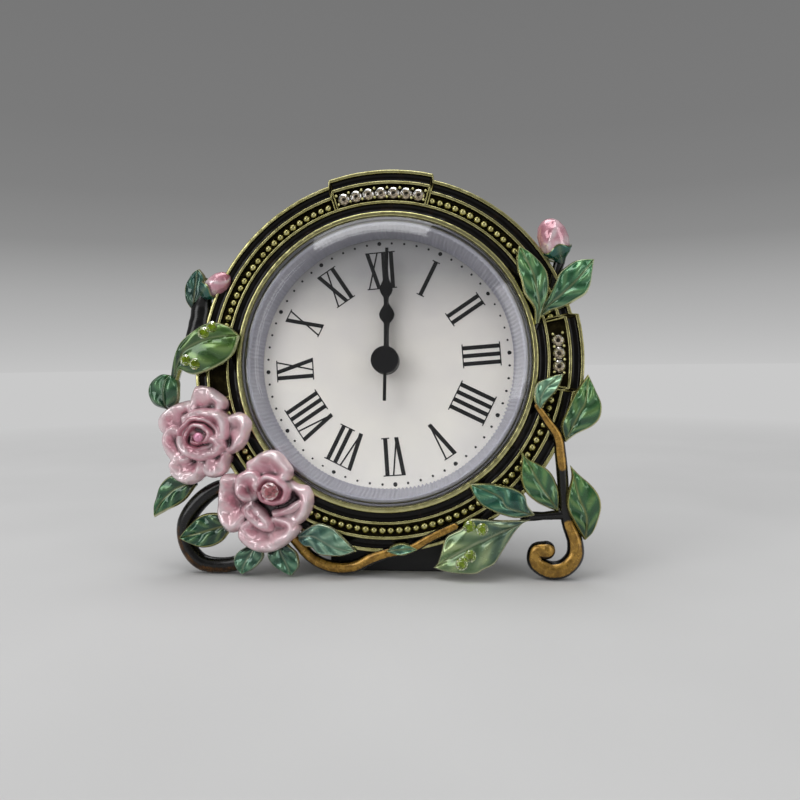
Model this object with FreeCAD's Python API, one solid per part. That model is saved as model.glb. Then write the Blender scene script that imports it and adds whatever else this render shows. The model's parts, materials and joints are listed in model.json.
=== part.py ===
import FreeCAD, Part
import math
import os

os.makedirs("parts", exist_ok=True)

# A small desk clock: a round enamelled frame with leaves, vines, buds and two
# roses, a domed crystal over a white dial, a quartz movement in a black back
# cover with a foot, and a folding leg behind.
#
# Face frame used while building: X to the right, Y up the dial, Z out towards
# the viewer, with the origin where the hands' axis meets the dial. Angles run
# counter-clockwise from X as the viewer sees them. At the end the whole clock
# is stood up, leaned back and set on its floor plane.

V = FreeCAD.Vector
ORIGIN = V(0, 0, 0)
OUT = V(0, 0, 1)
ACROSS = V(1, 0, 0)
TURN = 360.0
HALF_TURN = TURN / 2
QUARTER_TURN = TURN / 4

# Driving dimensions, millimetres and degrees
lean_back = 8.0
dial_height = 36.1
lens_radius = 25.0
lens_face_level = 6.3
lens_inner_level = 4.5
running_gap = 0.05
seat_gap = 0.15
overrun = 1.0

# The frame's ring, named from the lens outwards
lip_width = 1.05
inner_channel_width = 1.45
inner_ridge_width = 0.45
bead_track_width = 2.0
outer_ridge_width = 0.5
outer_channel_width = 1.5
rim_width = 0.6
ring_back_level = -1.2
lip_level = 4.6
ridge_level = 4.2
bead_floor_level = 3.1
channel_floor_level = 2.9
rim_level = 3.9
enamel_depth = 0.5
ring_edge_chamfer = 0.5
ring_turn = 1.6

# The raised tabs that hold the clear stones
tab_rise = 1.05
tab_wall = 0.5
top_tab_half_angle = 16.3
side_tab_half_angle = 11.5
stone_pitch_angle = 4.3
stone_radius = 0.95
stone_height = 1.0
bead_radius = 0.52
bead_pitch = 1.43

# The insert: crystal, sight ring, gasket, dial
lens_shoulder_width = 4.5
lens_shoulder_drop = 1.4
lens_wall = 0.7
flange_reach = 1.2
flange_top_level = 2.6
flange_thickness = 0.9
sight_ring_foot_radius = 22.25
sight_ring_waist_radius = 22.45
sight_ring_wall = 0.3
sight_ring_flange = 0.5
gasket_thickness = 0.5
dial_thickness = 0.5
dial_radius = 22.6
print_thickness = 0.04

# Back cover, foot and leg
cover_radius = 27.0
cover_wall = 1.5
cover_back_level = -12.0
cover_flange_radius = 30.3
cover_flange_thickness = 1.2
foot_width = 20.0
leg_hinge_height = 19.5
leg_hinge_setback = 1.7
leg_open_angle = 19.0
leg_thickness = 1.6
hinge_pin_radius = 0.75

# Movement
plate_thickness = 1.0
case_wall = 1.0
case_back_level = -10.0
arbor_radius = 0.25
wheel_thickness = 0.4
pinion_thickness = 0.7
battery_radius = 5.8
battery_height = 5.4
battery_shoulder_share = 0.78
battery_button_share = 0.88

# Ornaments stand over the ring by this much at most
ornament_rise = 9.0
leaf_thickness = 0.9
vine_radius = 1.45


# Radii and levels that follow from the driving dimensions
lens_bore_radius = lens_radius + running_gap
lip_radius = lens_radius + lip_width
inner_ridge_inner = lip_radius + inner_channel_width
bead_track_inner = inner_ridge_inner + inner_ridge_width
bead_track_outer = bead_track_inner + bead_track_width
outer_ridge_outer = bead_track_outer + outer_ridge_width
rim_inner = outer_ridge_outer + outer_channel_width
rim_radius = rim_inner + rim_width
flange_radius = lens_radius + flange_reach
recess_radius = flange_radius + seat_gap
cover_inner_radius = cover_radius - cover_wall
cover_inner_level = cover_back_level + cover_wall
flange_bottom_level = flange_top_level - flange_thickness
sight_flange_level = flange_bottom_level - sight_ring_flange
gasket_level = sight_flange_level - gasket_thickness
plate_front_level = -dial_thickness
plate_back_level = plate_front_level - plate_thickness
case_inner_level = case_back_level + case_wall

shapes = {}


def keep(name, shape):
    shapes[name] = shape
    return shape


def group(solids):
    """Separate solids of one node."""
    return Part.makeCompound(solids)


def fuse(solids):
    """One solid from several that run into each other."""
    joined = solids[0]
    if len(solids) > 1:
        joined = solids[0].multiFuse(solids[1:])
    return joined.removeSplitter()


def disc(radius, low, high, x=0.0, y=0.0):
    """A round bar along the dial's axis, between two levels."""
    return Part.makeCylinder(radius, high - low, V(x, y, low), OUT)


def tube(outer, inner, low, high, x=0.0, y=0.0):
    """A round bar with a bore."""
    bore = disc(inner, low - overrun, high + overrun, x, y)
    return disc(outer, low, high, x, y).cut(bore)


def block(left, right, bottom, top, low, high):
    """A rectangular bar between two corners."""
    return Part.makeBox(right - left, top - bottom, high - low, V(left, bottom, low))


def revolve(profile, start=0.0, sweep=TURN):
    """Turn a closed outline of (radius, level) points about the dial's axis."""
    corners = [V(radius, 0, level) for radius, level in profile]
    face = Part.Face(Part.makePolygon(corners + corners[:1]))
    solid = face.revolve(ORIGIN, OUT, sweep)
    solid.rotate(ORIGIN, OUT, start)
    return solid


def sector(inner, outer, low, high, start=0.0, sweep=TURN):
    """A curved bar of rectangular section."""
    outline = [(inner, low), (outer, low), (outer, high), (inner, high)]
    return revolve(outline, start, sweep)


def polar(radius, angle):
    """The x and y of a point at a radius and an angle."""
    turn = math.radians(angle)
    return radius * math.cos(turn), radius * math.sin(turn)


def plate(points, low, high):
    """A flat plate from an outline of (x, y) points."""
    corners = [V(x, y, low) for x, y in points]
    face = Part.Face(Part.makePolygon(corners + corners[:1]))
    return face.extrude(V(0, 0, high - low))


# Ring casting

tab_centres = {"top": QUARTER_TURN, "right": 0.0, "left": HALF_TURN}
tab_half_angles = {"top": top_tab_half_angle, "right": side_tab_half_angle, "left": side_tab_half_angle}
tab_stone_counts = {"top": 7, "right": 3, "left": 0}
screw_circle_radius = 28.8
screw_radius = 0.5
screw_depth = 2.2
screw_angles = (45.0, 135.0, 225.0, 315.0)


def tab_span(name):
    """Where a tab starts and how far it sweeps, in degrees."""
    half = tab_half_angles[name]
    return tab_centres[name] + ring_turn - half, 2 * half


def ring_profile(rise):
    """Section of the ring outside the inner ridge; a tab lifts it outwards."""
    outer = rim_radius + rise
    return [
        (inner_ridge_inner, ring_back_level),
        (outer - ring_edge_chamfer, ring_back_level),
        (outer, ring_back_level + ring_edge_chamfer),
        (outer, rim_level),
        (outer - rim_width, rim_level),
        (outer - rim_width, channel_floor_level),
        (outer_ridge_outer + rise, channel_floor_level),
        (outer_ridge_outer + rise, ridge_level),
        (bead_track_outer + rise, ridge_level),
        (bead_track_outer + rise, bead_floor_level),
        (bead_track_inner, bead_floor_level),
        (bead_track_inner, ridge_level),
        (inner_ridge_inner, ridge_level),
    ]


def make_ring_casting():
    inner_floor = ridge_level - 2 * enamel_depth
    inner = [
        (recess_radius, ring_back_level),
        (inner_ridge_inner, ring_back_level),
        (inner_ridge_inner, inner_floor),
        (lip_radius, inner_floor),
        (lip_radius, lip_level),
        (lens_bore_radius, lip_level),
        (lens_bore_radius, flange_top_level),
        (recess_radius, flange_top_level),
    ]
    outer = revolve(ring_profile(0.0))
    tabs = []
    for name in tab_centres:
        start, sweep = tab_span(name)
        reach = rim_radius + overrun
        low = ring_back_level - overrun
        gone = sector(bead_track_inner, reach, low, ridge_level + overrun, start, sweep)
        outer = outer.cut(gone)
        tabs.append(revolve(ring_profile(tab_rise), start, sweep))
        wall_sweep = math.degrees(tab_wall / rim_radius)
        for edge in (start, start + sweep - wall_sweep):
            tabs.append(sector(rim_inner, rim_radius + tab_rise, ring_back_level + ring_edge_chamfer,
                               rim_level, edge, wall_sweep))
            tabs.append(sector(bead_track_outer, outer_ridge_outer + tab_rise, channel_floor_level - overrun,
                               ridge_level, edge, wall_sweep))
    ring = fuse([revolve(inner), outer] + tabs)
    for angle in screw_angles:
        x, y = polar(screw_circle_radius, angle)
        ring = ring.cut(disc(screw_radius + running_gap, ring_back_level - overrun,
                             ring_back_level + screw_depth, x, y))
    return keep("ring_casting", ring)


def make_enamel():
    inner_floor = ridge_level - 2 * enamel_depth
    inner_top = inner_floor + enamel_depth
    keep("inner_channel_enamel", sector(lip_radius, inner_ridge_inner, inner_floor, inner_top))
    top = channel_floor_level + enamel_depth
    wall_sweep = math.degrees(tab_wall / rim_radius)
    spans = sorted(tab_span(name) for name in tab_centres)
    pieces = []
    for index, (start, sweep) in enumerate(spans):
        pieces.append(sector(outer_ridge_outer + tab_rise, rim_inner + tab_rise, channel_floor_level, top,
                             start + wall_sweep, sweep - 2 * wall_sweep))
        after = spans[(index + 1) % len(spans)][0]
        gap = (after - start - sweep) % TURN
        pieces.append(sector(outer_ridge_outer, rim_inner, channel_floor_level, top, start + sweep, gap))
    keep("outer_channel_enamel", group(pieces))


def make_bead_row():
    """Cast pearls round the track, left out where a tab holds stones."""
    centre_radius = (bead_track_inner + bead_track_outer) / 2
    count = round(2 * math.pi * centre_radius / bead_pitch)
    beads = []
    for index in range(count):
        angle = index * TURN / count
        hidden = False
        for name in tab_centres:
            start, sweep = tab_span(name)
            hidden = hidden or (angle - start) % TURN < sweep
        if not hidden:
            x, y = polar(centre_radius, angle)
            ball = Part.makeSphere(bead_radius, V(x, y, bead_floor_level), OUT, 0, QUARTER_TURN, TURN)
            beads.append(ball)
    keep("bead_row", group(beads))


stone_table_share = 0.55
stone_girdle_share = 0.62


def stone(radius, height, x, y, level):
    """A round cut stone: pointed back, girdle, sloping crown and flat table."""
    girdle = level + height * stone_girdle_share
    cone = Part.makeCone(radius * stone_table_share, radius, girdle - level, V(x, y, level), OUT)
    crown = Part.makeCone(radius, radius * stone_table_share, level + height - girdle, V(x, y, girdle), OUT)
    return fuse([cone, crown])


def make_clear_stones():
    track_middle = (bead_track_inner + bead_track_outer + tab_rise) / 2
    stones = []
    for name in tab_centres:
        count = tab_stone_counts[name]
        for index in range(count):
            offset = (index - (count - 1) / 2) * stone_pitch_angle
            x, y = polar(track_middle, tab_centres[name] + ring_turn + offset)
            stones.append(stone(stone_radius, stone_height, x, y, bead_floor_level))
    keep("clear_stones", group(stones))


# Leaves, petals and vines

def place(across_share, up_share, level_share):
    """A point given as shares of the rim's radius and of the ornaments' rise."""
    return V(across_share * rim_radius, up_share * rim_radius, level_share * ornament_rise)


leaf_width_shares = (0.16, 0.66, 0.93, 1.0, 0.84, 0.5, 0.08)
petal_width_shares = (0.35, 0.6, 0.82, 0.97, 1.0, 0.86, 0.42)
# Corners across a blade: how far out, and how much of the fold lifts them
blade_section_shares = ((-1.0, 1.0), (-0.5, 0.35), (0.0, 0.0), (0.5, 0.35), (1.0, 1.0))


def blade(base, tip, half_width, bow=0.0, arch=0.0, fold=0.0, thickness=leaf_thickness,
          width_shares=leaf_width_shares):
    """A leaf or petal lofted along its middle line.

    bow moves the middle line sideways, arch lifts it forward, and fold lifts
    its two edges above the middle line, all in millimetres.
    """
    along = tip.sub(base)
    side = V(-along.y, along.x, 0)
    side.normalize()
    face = side.cross(along)
    face.normalize()
    if face.z < 0:
        face = face.negative()
    sections = []
    last = len(width_shares) - 1
    for index, width_share in enumerate(width_shares):
        share = index / last
        hump = 4 * share * (1 - share)
        centre = base + along * share + side * (bow * hump) + face * (arch * hump)
        half = half_width * width_share
        lift = fold * width_share
        ring = []
        for across, up in blade_section_shares:
            ring.append(centre + side * (across * half) + face * (up * lift))
        under = [corner - face * thickness for corner in reversed(ring)]
        outline = ring + under
        sections.append(Part.makePolygon(outline + outline[:1]))
    return Part.makeLoft(sections, True, False)


def vine(points, radii):
    """A tapering round stem through the points, with a radius at each."""
    curve = Part.BSplineCurve()
    curve.interpolate(points)
    first, last = curve.FirstParameter, curve.LastParameter
    parameters = [curve.parameter(point) for point in points]
    parameters[0], parameters[-1] = first, last
    sections = []
    for index, parameter in enumerate(parameters):
        tangent = curve.tangent(parameter)[0]
        sections.append(Part.Wire(Part.Circle(points[index], tangent, radii[index]).toShape()))
        if index < len(parameters) - 1:
            middle = (parameter + parameters[index + 1]) / 2
            spot = curve.value(middle)
            radius = (radii[index] + radii[index + 1]) / 2
            sections.append(Part.Wire(Part.Circle(spot, curve.tangent(middle)[0], radius).toShape()))
    return Part.makeLoft(sections, True, False)


# Each leaf: base across and up, tip across and up, half width, sideways bow,
# all as shares of the rim's radius, then base and tip level, arch and fold as
# shares of the ornaments' rise
leaf_shares = {
    "upper_left_leaf": (-1.135, -0.055, -0.765, 0.122, 0.120, 0.028, 0.42, 0.62, 0.14, -0.05),
    "curled_leaf": (-1.165, -0.255, -1.205, -0.085, 0.068, 0.012, 0.28, 0.28, 0.20, -0.10),
    "lower_left_leaf": (-1.000, -0.620, -1.245, -0.800, 0.062, 0.008, 0.34, 0.28, 0.06, -0.04),
    "loop_leaf": (-0.790, -0.840, -1.070, -0.928, 0.064, 0.010, 0.44, 0.42, 0.05, -0.04),
    "rose_side_leaf": (-0.450, -0.880, -0.135, -1.000, 0.080, 0.012, 0.52, 0.52, 0.08, -0.05),
    "stone_leaf": (0.700, -0.845, 0.255, -1.078, 0.128, 0.015, 0.54, 0.42, 0.08, 0.05),
    "ring_leaf": (0.735, -0.805, 0.448, -0.643, 0.080, 0.004, 0.48, 0.66, 0.06, 0.05),
    "centre_leaf": (0.870, -0.775, 0.690, -0.472, 0.078, 0.010, 0.40, 0.64, 0.05, 0.05),
    "right_lower_leaf": (1.020, -0.930, 0.950, -0.552, 0.082, -0.030, 0.36, 0.50, 0.05, 0.05),
    "right_upper_leaf": (0.910, -0.425, 1.040, -0.092, 0.092, -0.036, 0.48, 0.54, 0.05, 0.05),
    "inner_leaf": (0.790, -0.262, 0.918, -0.090, 0.055, 0.012, 0.54, 0.64, 0.06, -0.05),
    "top_left_leaf": (0.805, 0.225, 0.702, 0.573, 0.074, -0.012, 0.50, 0.62, 0.06, 0.05),
    "top_right_leaf": (0.825, 0.255, 1.085, 0.512, 0.086, 0.006, 0.46, 0.46, 0.06, 0.05),
    "vine_leaflet": (0.010, -1.000, 0.200, -0.968, 0.034, 0.006, 0.40, 0.42, 0.04, -0.03),
}
small_leaf_shares = {
    "left": (-0.690, -0.960, -0.748, -1.122, 0.052, 0.0, 0.42, 0.34, 0.05, -0.03),
    "right": (-0.545, -0.955, -0.483, -1.122, 0.060, 0.0, 0.42, 0.34, 0.05, -0.03),
}


def leaf(row):
    base_x, base_y, tip_x, tip_y, half_width, bow, base_level, tip_level, arch, fold = row
    return blade(place(base_x, base_y, base_level), place(tip_x, tip_y, tip_level),
                 half_width * rim_radius, bow * rim_radius, arch * ornament_rise, fold * ornament_rise)


def make_leaves():
    for name, row in leaf_shares.items():
        keep(name, leaf(row))
    keep("bottom_leaves", group([leaf(row) for row in small_leaf_shares.values()]))


# Vines: points across and up as shares of the rim's radius, level as a share
# of the ornaments' rise, and the stem's radius as a share of the vine radius
left_loop_shares = (
    (-0.780, -0.635, 0.26, 0.80), (-0.915, -0.670, 0.24, 0.95), (-1.028, -0.752, 0.22, 1.0),
    (-1.084, -0.862, 0.22, 1.05), (-1.070, -0.975, 0.22, 1.05), (-0.990, -1.062, 0.22, 1.0),
    (-0.890, -1.085, 0.22, 0.95), (-0.790, -1.060, 0.22, 0.90), (-0.690, -1.000, 0.24, 0.80),
)
bottom_vine_shares = (
    (-0.480, -0.930, 0.30, 0.75), (-0.395, -1.030, 0.24, 0.70), (-0.270, -1.085, 0.24, 0.72),
    (-0.150, -1.070, 0.30, 0.80), (-0.020, -1.000, 0.38, 0.72), (0.110, -0.965, 0.42, 0.60),
    (0.225, -0.925, 0.46, 0.55), (0.345, -0.875, 0.49, 0.50),
)
right_vine_shares = (
    (0.780, -0.235, 0.54, 0.42), (0.838, -0.325, 0.51, 0.58), (0.890, -0.420, 0.46, 0.68),
    (0.910, -0.530, 0.41, 0.66), (0.912, -0.670, 0.37, 0.66), (0.922, -0.800, 0.35, 0.72),
    (0.965, -0.900, 0.30, 0.85), (0.988, -0.985, 0.28, 1.0), (0.955, -1.050, 0.26, 1.08),
    (0.880, -1.084, 0.26, 1.10), (0.805, -1.050, 0.26, 1.05), (0.785, -0.985, 0.27, 0.95),
    (0.822, -0.960, 0.29, 0.90),
)
branch_shares = ((0.720, -0.812, 0.34, 0.62), (0.810, -0.806, 0.34, 0.50), (0.915, -0.795, 0.34, 0.60))


def stem(rows):
    points = [place(across, up, level) for across, up, level, _ in rows]
    return vine(points, [vine_radius * share for *_, share in rows])


def make_vines():
    keep("left_loop_vine", stem(left_loop_shares))
    keep("bottom_vine", stem(bottom_vine_shares))
    keep("right_vine", fuse([stem(right_vine_shares), stem(branch_shares)]))


# Buds: centre of the foot and of the tip, and the fattest radius
bud_shares = {
    "left": (-0.985, 0.370, -0.850, 0.500, 0.30, 0.40, 0.046),
    "right": (0.920, 0.540, 0.855, 0.722, 0.40, 0.40, 0.074),
}
bud_profile_shares = ((0.0, 0.55), (0.3, 0.97), (0.6, 1.0), (0.85, 0.72), (1.0, 0.25))
calyx_profile_shares = ((-0.75, 0.22), (-0.3, 0.42), (0.0, 0.80), (0.3, 1.08), (0.42, 1.1))
calyx_leaf_shares = (-1.065, 0.290, -1.050, 0.510, 0.042, 0.006, 0.26, 0.30, 0.06, -0.04)


def turned(foot, tip, radius, profile):
    """A body of round section from shares of its length and of its radius."""
    along = tip.sub(foot)
    sections = []
    for share, radius_share in profile:
        circle = Part.Circle(foot + along * share, along, radius * radius_share)
        sections.append(Part.Wire(circle.toShape()))
    return Part.makeLoft(sections, True, False)


def make_buds():
    buds = []
    cups = []
    for across, up, tip_across, tip_up, level, tip_level, radius_share in bud_shares.values():
        foot = place(across, up, level)
        tip = place(tip_across, tip_up, tip_level)
        radius = radius_share * rim_radius
        bud = turned(foot, tip, radius, bud_profile_shares)
        cup = turned(foot, tip, radius, calyx_profile_shares)
        buds.append(bud)
        cups.append(cup.cut(bud))
    cups.append(leaf(calyx_leaf_shares))
    keep("buds", group(buds))
    keep("bud_calyxes", group(cups))


# Roses: centre across, up and level, then one row per petal: direction in
# degrees, start and reach from the centre, half width, all shares of the
# rose's radius, then the level of its foot and its tip as shares of the rise
rose_radius = 8.7
petal_thickness = 1.0
petal_fold_share = 0.12
rose_centre_shares = {"upper": (-0.985, -0.405, 0.46), "lower": (-0.645, -0.740, 0.50)}
rose_petal_shares = {
    "upper": (
        (75, 0.10, 0.98, 0.42, 0.10, 0.22), (18, 0.15, 1.02, 0.44, 0.08, 0.26),
        (140, 0.10, 0.98, 0.50, 0.06, 0.18), (200, 0.10, 0.96, 0.50, 0.06, 0.18),
        (255, 0.12, 1.00, 0.52, 0.06, 0.20), (315, 0.12, 0.92, 0.48, 0.08, 0.24),
        (100, 0.05, 0.62, 0.42, 0.22, 0.50), (190, 0.05, 0.60, 0.42, 0.22, 0.50),
        (300, 0.05, 0.62, 0.44, 0.22, 0.50),
    ),
    "lower": (
        (74, 0.10, 1.02, 0.50, 0.20, 0.40), (6, 0.20, 1.00, 0.42, 0.12, 0.24),
        (150, 0.12, 1.00, 0.48, 0.06, 0.20), (205, 0.10, 1.00, 0.50, 0.06, 0.20),
        (262, 0.12, 1.00, 0.54, 0.06, 0.24), (325, 0.15, 0.95, 0.44, 0.08, 0.24),
        (115, 0.02, 0.66, 0.40, 0.22, 0.46), (215, 0.02, 0.62, 0.44, 0.22, 0.46),
        (290, 0.05, 0.66, 0.42, 0.22, 0.46),
    ),
}
rose_core_shares = {"upper": (0.02, -0.02), "lower": (0.24, 0.16)}
core_radius_share = 0.30
core_profile_shares = ((0.0, 1.1), (0.45, 1.0), (0.8, 0.86), (1.0, 0.6))
core_height_share = 0.52
bead_share = 0.11
rose_stone_radius = 1.5
rose_stone_height = 1.2


def make_roses():
    for name, (across, up, level) in rose_centre_shares.items():
        centre = place(across, up, level)
        petals = []
        for angle, start, reach, half, foot_level, tip_level in rose_petal_shares[name]:
            start_x, start_y = polar(start * rose_radius, angle)
            tip_x, tip_y = polar(reach * rose_radius, angle)
            foot = centre + V(start_x, start_y, foot_level * ornament_rise - petal_thickness)
            tip = centre + V(tip_x, tip_y, tip_level * ornament_rise - petal_thickness)
            petals.append(blade(foot, tip, half * rose_radius, 0.0, 0.0, petal_fold_share * rose_radius,
                                petal_thickness, petal_width_shares))
        shift_x, shift_y = rose_core_shares[name]
        foot = centre + V(shift_x * rose_radius, shift_y * rose_radius, 0)
        tip = foot + V(0, 0, core_height_share * ornament_rise)
        core = turned(foot, tip, core_radius_share * rose_radius, core_profile_shares)
        base_foot = foot - OUT * petal_thickness
        base = Part.makeCylinder(core_radius_share * rose_radius, petal_thickness, base_foot, OUT)
        flower = fuse(petals + [core, base])
        keep("rose_" + name, flower)
        rose_tips[name] = tip


rose_tips = {}


def make_rose_centres():
    """A pearl in the upper rose and a set pink stone in the lower one."""
    ball = Part.makeSphere(bead_share * rose_radius, rose_tips["upper"])
    pearl = ball.cut(shapes["rose_upper"])
    keep("rose_pearl", pearl)
    seat = rose_tips["lower"]
    pink = stone(rose_stone_radius, rose_stone_height, seat.x, seat.y, seat.z)
    keep("rose_stone", pink)


probe_top_share = 2.0
green_stone_shares = {
    "upper_left_leaf": ((-0.912, 0.160), (-0.938, 0.128), (-1.030, 0.000), (-0.982, -0.020)),
    "stone_leaf": ((0.445, -0.868), (0.500, -0.871), (0.442, -1.000), (0.396, -1.040)),
}
green_stone_radius = 0.95
green_stone_height = 0.9


def make_green_stones():
    """Green stones set flush into two of the leaves."""
    stones = []
    for name, rows in green_stone_shares.items():
        for across, up in rows:
            probe = Part.makeLine(place(across, up, 0), place(across, up, probe_top_share))
            hits = shapes[name].common(probe)
            level = hits.BoundBox.ZMax - green_stone_height * stone_girdle_share
            x, y = across * rim_radius, up * rim_radius
            stones.append(stone(green_stone_radius, green_stone_height, x, y, level))
            seat = disc(green_stone_radius, level, level + ornament_rise, x, y)
            shapes[name] = shapes[name].cut(seat)
    keep("green_stones", group(stones))


# Crystal, sight ring, gasket and dial

def make_lens():
    wall_inner = lens_radius - lens_wall
    shoulder = lens_radius - lens_shoulder_width
    profile = [
        (0, lens_inner_level),
        (wall_inner, lens_inner_level),
        (wall_inner, flange_bottom_level),
        (flange_radius, flange_bottom_level),
        (flange_radius, flange_top_level),
        (lens_radius, flange_top_level),
        (lens_radius, lens_face_level - lens_shoulder_drop),
        (shoulder, lens_face_level),
        (0, lens_face_level),
    ]
    keep("lens", revolve(profile))


dial_edge_gap = 0.3
dial_hole_radius = 1.5
holder_rim_inner = dial_radius + dial_edge_gap


def make_sight_ring():
    """The ring under the crystal: a foot inside the dial's rim, a flange and a cone up to the crystal."""
    foot_outer = holder_rim_inner - running_gap
    outer = lens_radius - lens_wall - running_gap
    top = lens_inner_level - seat_gap
    profile = [
        (sight_ring_foot_radius, 0),
        (foot_outer, 0),
        (foot_outer, sight_flange_level),
        (flange_radius, sight_flange_level),
        (flange_radius, flange_bottom_level),
        (outer, flange_bottom_level),
        (outer, top),
        (outer - sight_ring_wall, top),
        (sight_ring_waist_radius, sight_flange_level),
    ]
    keep("sight_ring", revolve(profile))


def make_gasket_and_dial():
    gasket_bore = holder_rim_inner + dial_edge_gap
    keep("gasket", tube(flange_radius - seat_gap, gasket_bore, gasket_level, sight_flange_level))
    keep("dial", tube(dial_radius, dial_hole_radius, -dial_thickness, 0))


# Dial print: dots and Roman numerals, feet towards the middle

dot_circle_radius = 21.4
small_dot_radius = 0.2
large_dot_radius = 0.36
numeral_inner_radius = 13.2
numeral_height = 6.7
numeral_pitch = 1.4
thick_stroke = 0.72
thin_stroke = 0.28
serif_stroke = 0.2
serif_reach = 0.35
letter_width = 2.5
hours = ("XII", "I", "II", "III", "IIII", "V", "VI", "VII", "VIII", "IX", "X", "XI")
dots_per_hour = 5
dial_turn = 4.0


def stroke(x0, y0, x1, y1, width):
    """One printed bar between two points."""
    half = width / 2
    return plate([(x0 - half, y0), (x0 + half, y0), (x1 + half, y1), (x1 - half, y1)], 0, print_thickness)


def numeral(text):
    """A numeral on its own, foot on the X axis and centred on the Y axis."""
    widths = [numeral_pitch if letter == "I" else letter_width for letter in text]
    left = -sum(widths) / 2
    foot, head = serif_stroke / 2, numeral_height - serif_stroke / 2
    strokes = []
    for letter, width in zip(text, widths):
        middle = left + width / 2
        arm = (letter_width - thick_stroke) / 2
        if letter == "I":
            strokes.append(stroke(middle, foot, middle, head, thick_stroke))
        elif letter == "V":
            strokes.append(stroke(middle, foot, middle - arm, head, thick_stroke))
            strokes.append(stroke(middle, foot, middle + arm, head, thin_stroke))
        else:
            strokes.append(stroke(middle + arm, foot, middle - arm, head, thick_stroke))
            strokes.append(stroke(middle - arm, foot, middle + arm, head, thin_stroke))
        reach = serif_reach + (thick_stroke / 2 if letter == "I" else arm)
        foot_reach = serif_reach if letter == "V" else reach
        strokes.append(stroke(middle, 0, middle, serif_stroke, 2 * foot_reach))
        strokes.append(stroke(middle, numeral_height - serif_stroke, middle, numeral_height, 2 * reach))
        left += width
    return fuse(strokes)


def make_dial_print():
    pieces = []
    for hour, text in enumerate(hours):
        figure = numeral(text)
        figure.translate(V(0, numeral_inner_radius, 0))
        figure.rotate(ORIGIN, OUT, dial_turn - hour * TURN / len(hours))
        pieces.extend(figure.Solids)
    minutes = dots_per_hour * len(hours)
    for minute in range(minutes):
        x, y = polar(dot_circle_radius, dial_turn + minute * TURN / minutes)
        dot_radius = small_dot_radius if minute % dots_per_hour else large_dot_radius
        pieces.append(disc(dot_radius, 0, print_thickness, x, y))
    keep("dial_print", group(pieces))


# Wheels of the movement: places, modules and tooth counts

tooth_share = 0.40
tooth_tip_share = 0.20
tooth_root_share = 0.52
addendum_share = 0.85
dedendum_share = 1.2


def gear(teeth, module, low, high, x, y, tooth_angle):
    """A flat toothed wheel with one tooth pointing at the given angle."""
    pitch_radius = teeth * module / 2
    tip_radius = pitch_radius + addendum_share * module
    root_radius = pitch_radius - dedendum_share * module
    step = TURN / teeth
    points = []
    for index in range(teeth):
        middle = tooth_angle + index * step
        for radius, share in ((root_radius, -tooth_root_share), (pitch_radius, -tooth_share),
                              (tip_radius, -tooth_tip_share), (tip_radius, tooth_tip_share),
                              (pitch_radius, tooth_share), (root_radius, tooth_root_share)):
            points.append(polar(radius, middle + share * step / 2))
    wheel = plate(points, low, high)
    wheel.translate(V(x, y, 0))
    return wheel


centre_module = 0.17
third_module = 0.18
motion_module = 0.20
step_module = 0.17
pinion_teeth = 8
third_teeth = 60
centre_teeth = 64
seconds_teeth = 48
step_teeth = 40
cannon_teeth = 10
minute_teeth = 30
hour_teeth = 32

third_distance = (pinion_teeth + centre_teeth) * centre_module / 2
motion_distance = (cannon_teeth + minute_teeth) * motion_module / 2
step_distance = (pinion_teeth + seconds_teeth) * step_module / 2
rotor_distance = (pinion_teeth + step_teeth) * step_module / 2
third_angle = QUARTER_TURN
motion_angle = 0.0
step_angle = -60.0
rotor_angle = -30.0
third_x, third_y = polar(third_distance, third_angle)
minute_x, minute_y = polar(motion_distance, motion_angle)
knob_x, knob_y = polar(2 * motion_distance, motion_angle)
step_x, step_y = polar(step_distance, step_angle)
rotor_x = step_x + polar(rotor_distance, rotor_angle)[0]
rotor_y = step_y + polar(rotor_distance, rotor_angle)[1]

# Levels of the wheels, front to back, as the depth behind the dial's face
hour_wheel_level = -2.6
minute_wheel_level = -3.6
centre_wheel_level = -4.6
third_wheel_level = -5.4
bridge_level = -5.9
seconds_wheel_level = -6.9
step_wheel_level = -7.9
stator_level = -8.8
arbor_end_level = case_inner_level - case_wall / 2

seconds_bore = arbor_radius + 0.07
cannon_radius = 0.75
hour_bore = cannon_radius + 0.07
hour_tube_radius = 1.25
stud_radius = 0.4
pivot_radius = 0.3
knob_arbor_radius = 0.6
knob_radius = 2.9
knob_height = 2.0
knob_gap = 0.4
knob_notches = 12
knob_notch_radius = 0.35
hour_hand_level = 1.0
minute_hand_level = 2.0
seconds_hand_level = 3.0
hand_thickness = 0.3
cap_radius = 2.4
cap_height = 0.9
hub_radius = 2.2
rotor_radius = 1.6
rotor_gap = 0.3


def wheel_and_pinion(wheel_row, pinion_row, arbor_row, bore=0.0):
    """A toothed wheel and a pinion on one arbor, with an optional bore."""
    teeth, module, level, angle = wheel_row
    pinion_count, pinion_module, pinion_level, pinion_angle = pinion_row
    x, y, radius, low, high = arbor_row
    solid = fuse([
        gear(teeth, module, level, level + wheel_thickness, x, y, angle),
        gear(pinion_count, pinion_module, pinion_level, pinion_level + pinion_thickness, x, y, pinion_angle),
        disc(radius, low, high, x, y),
    ])
    if bore:
        solid = solid.cut(disc(bore, low - overrun, high + overrun, x, y))
    return solid


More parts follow.
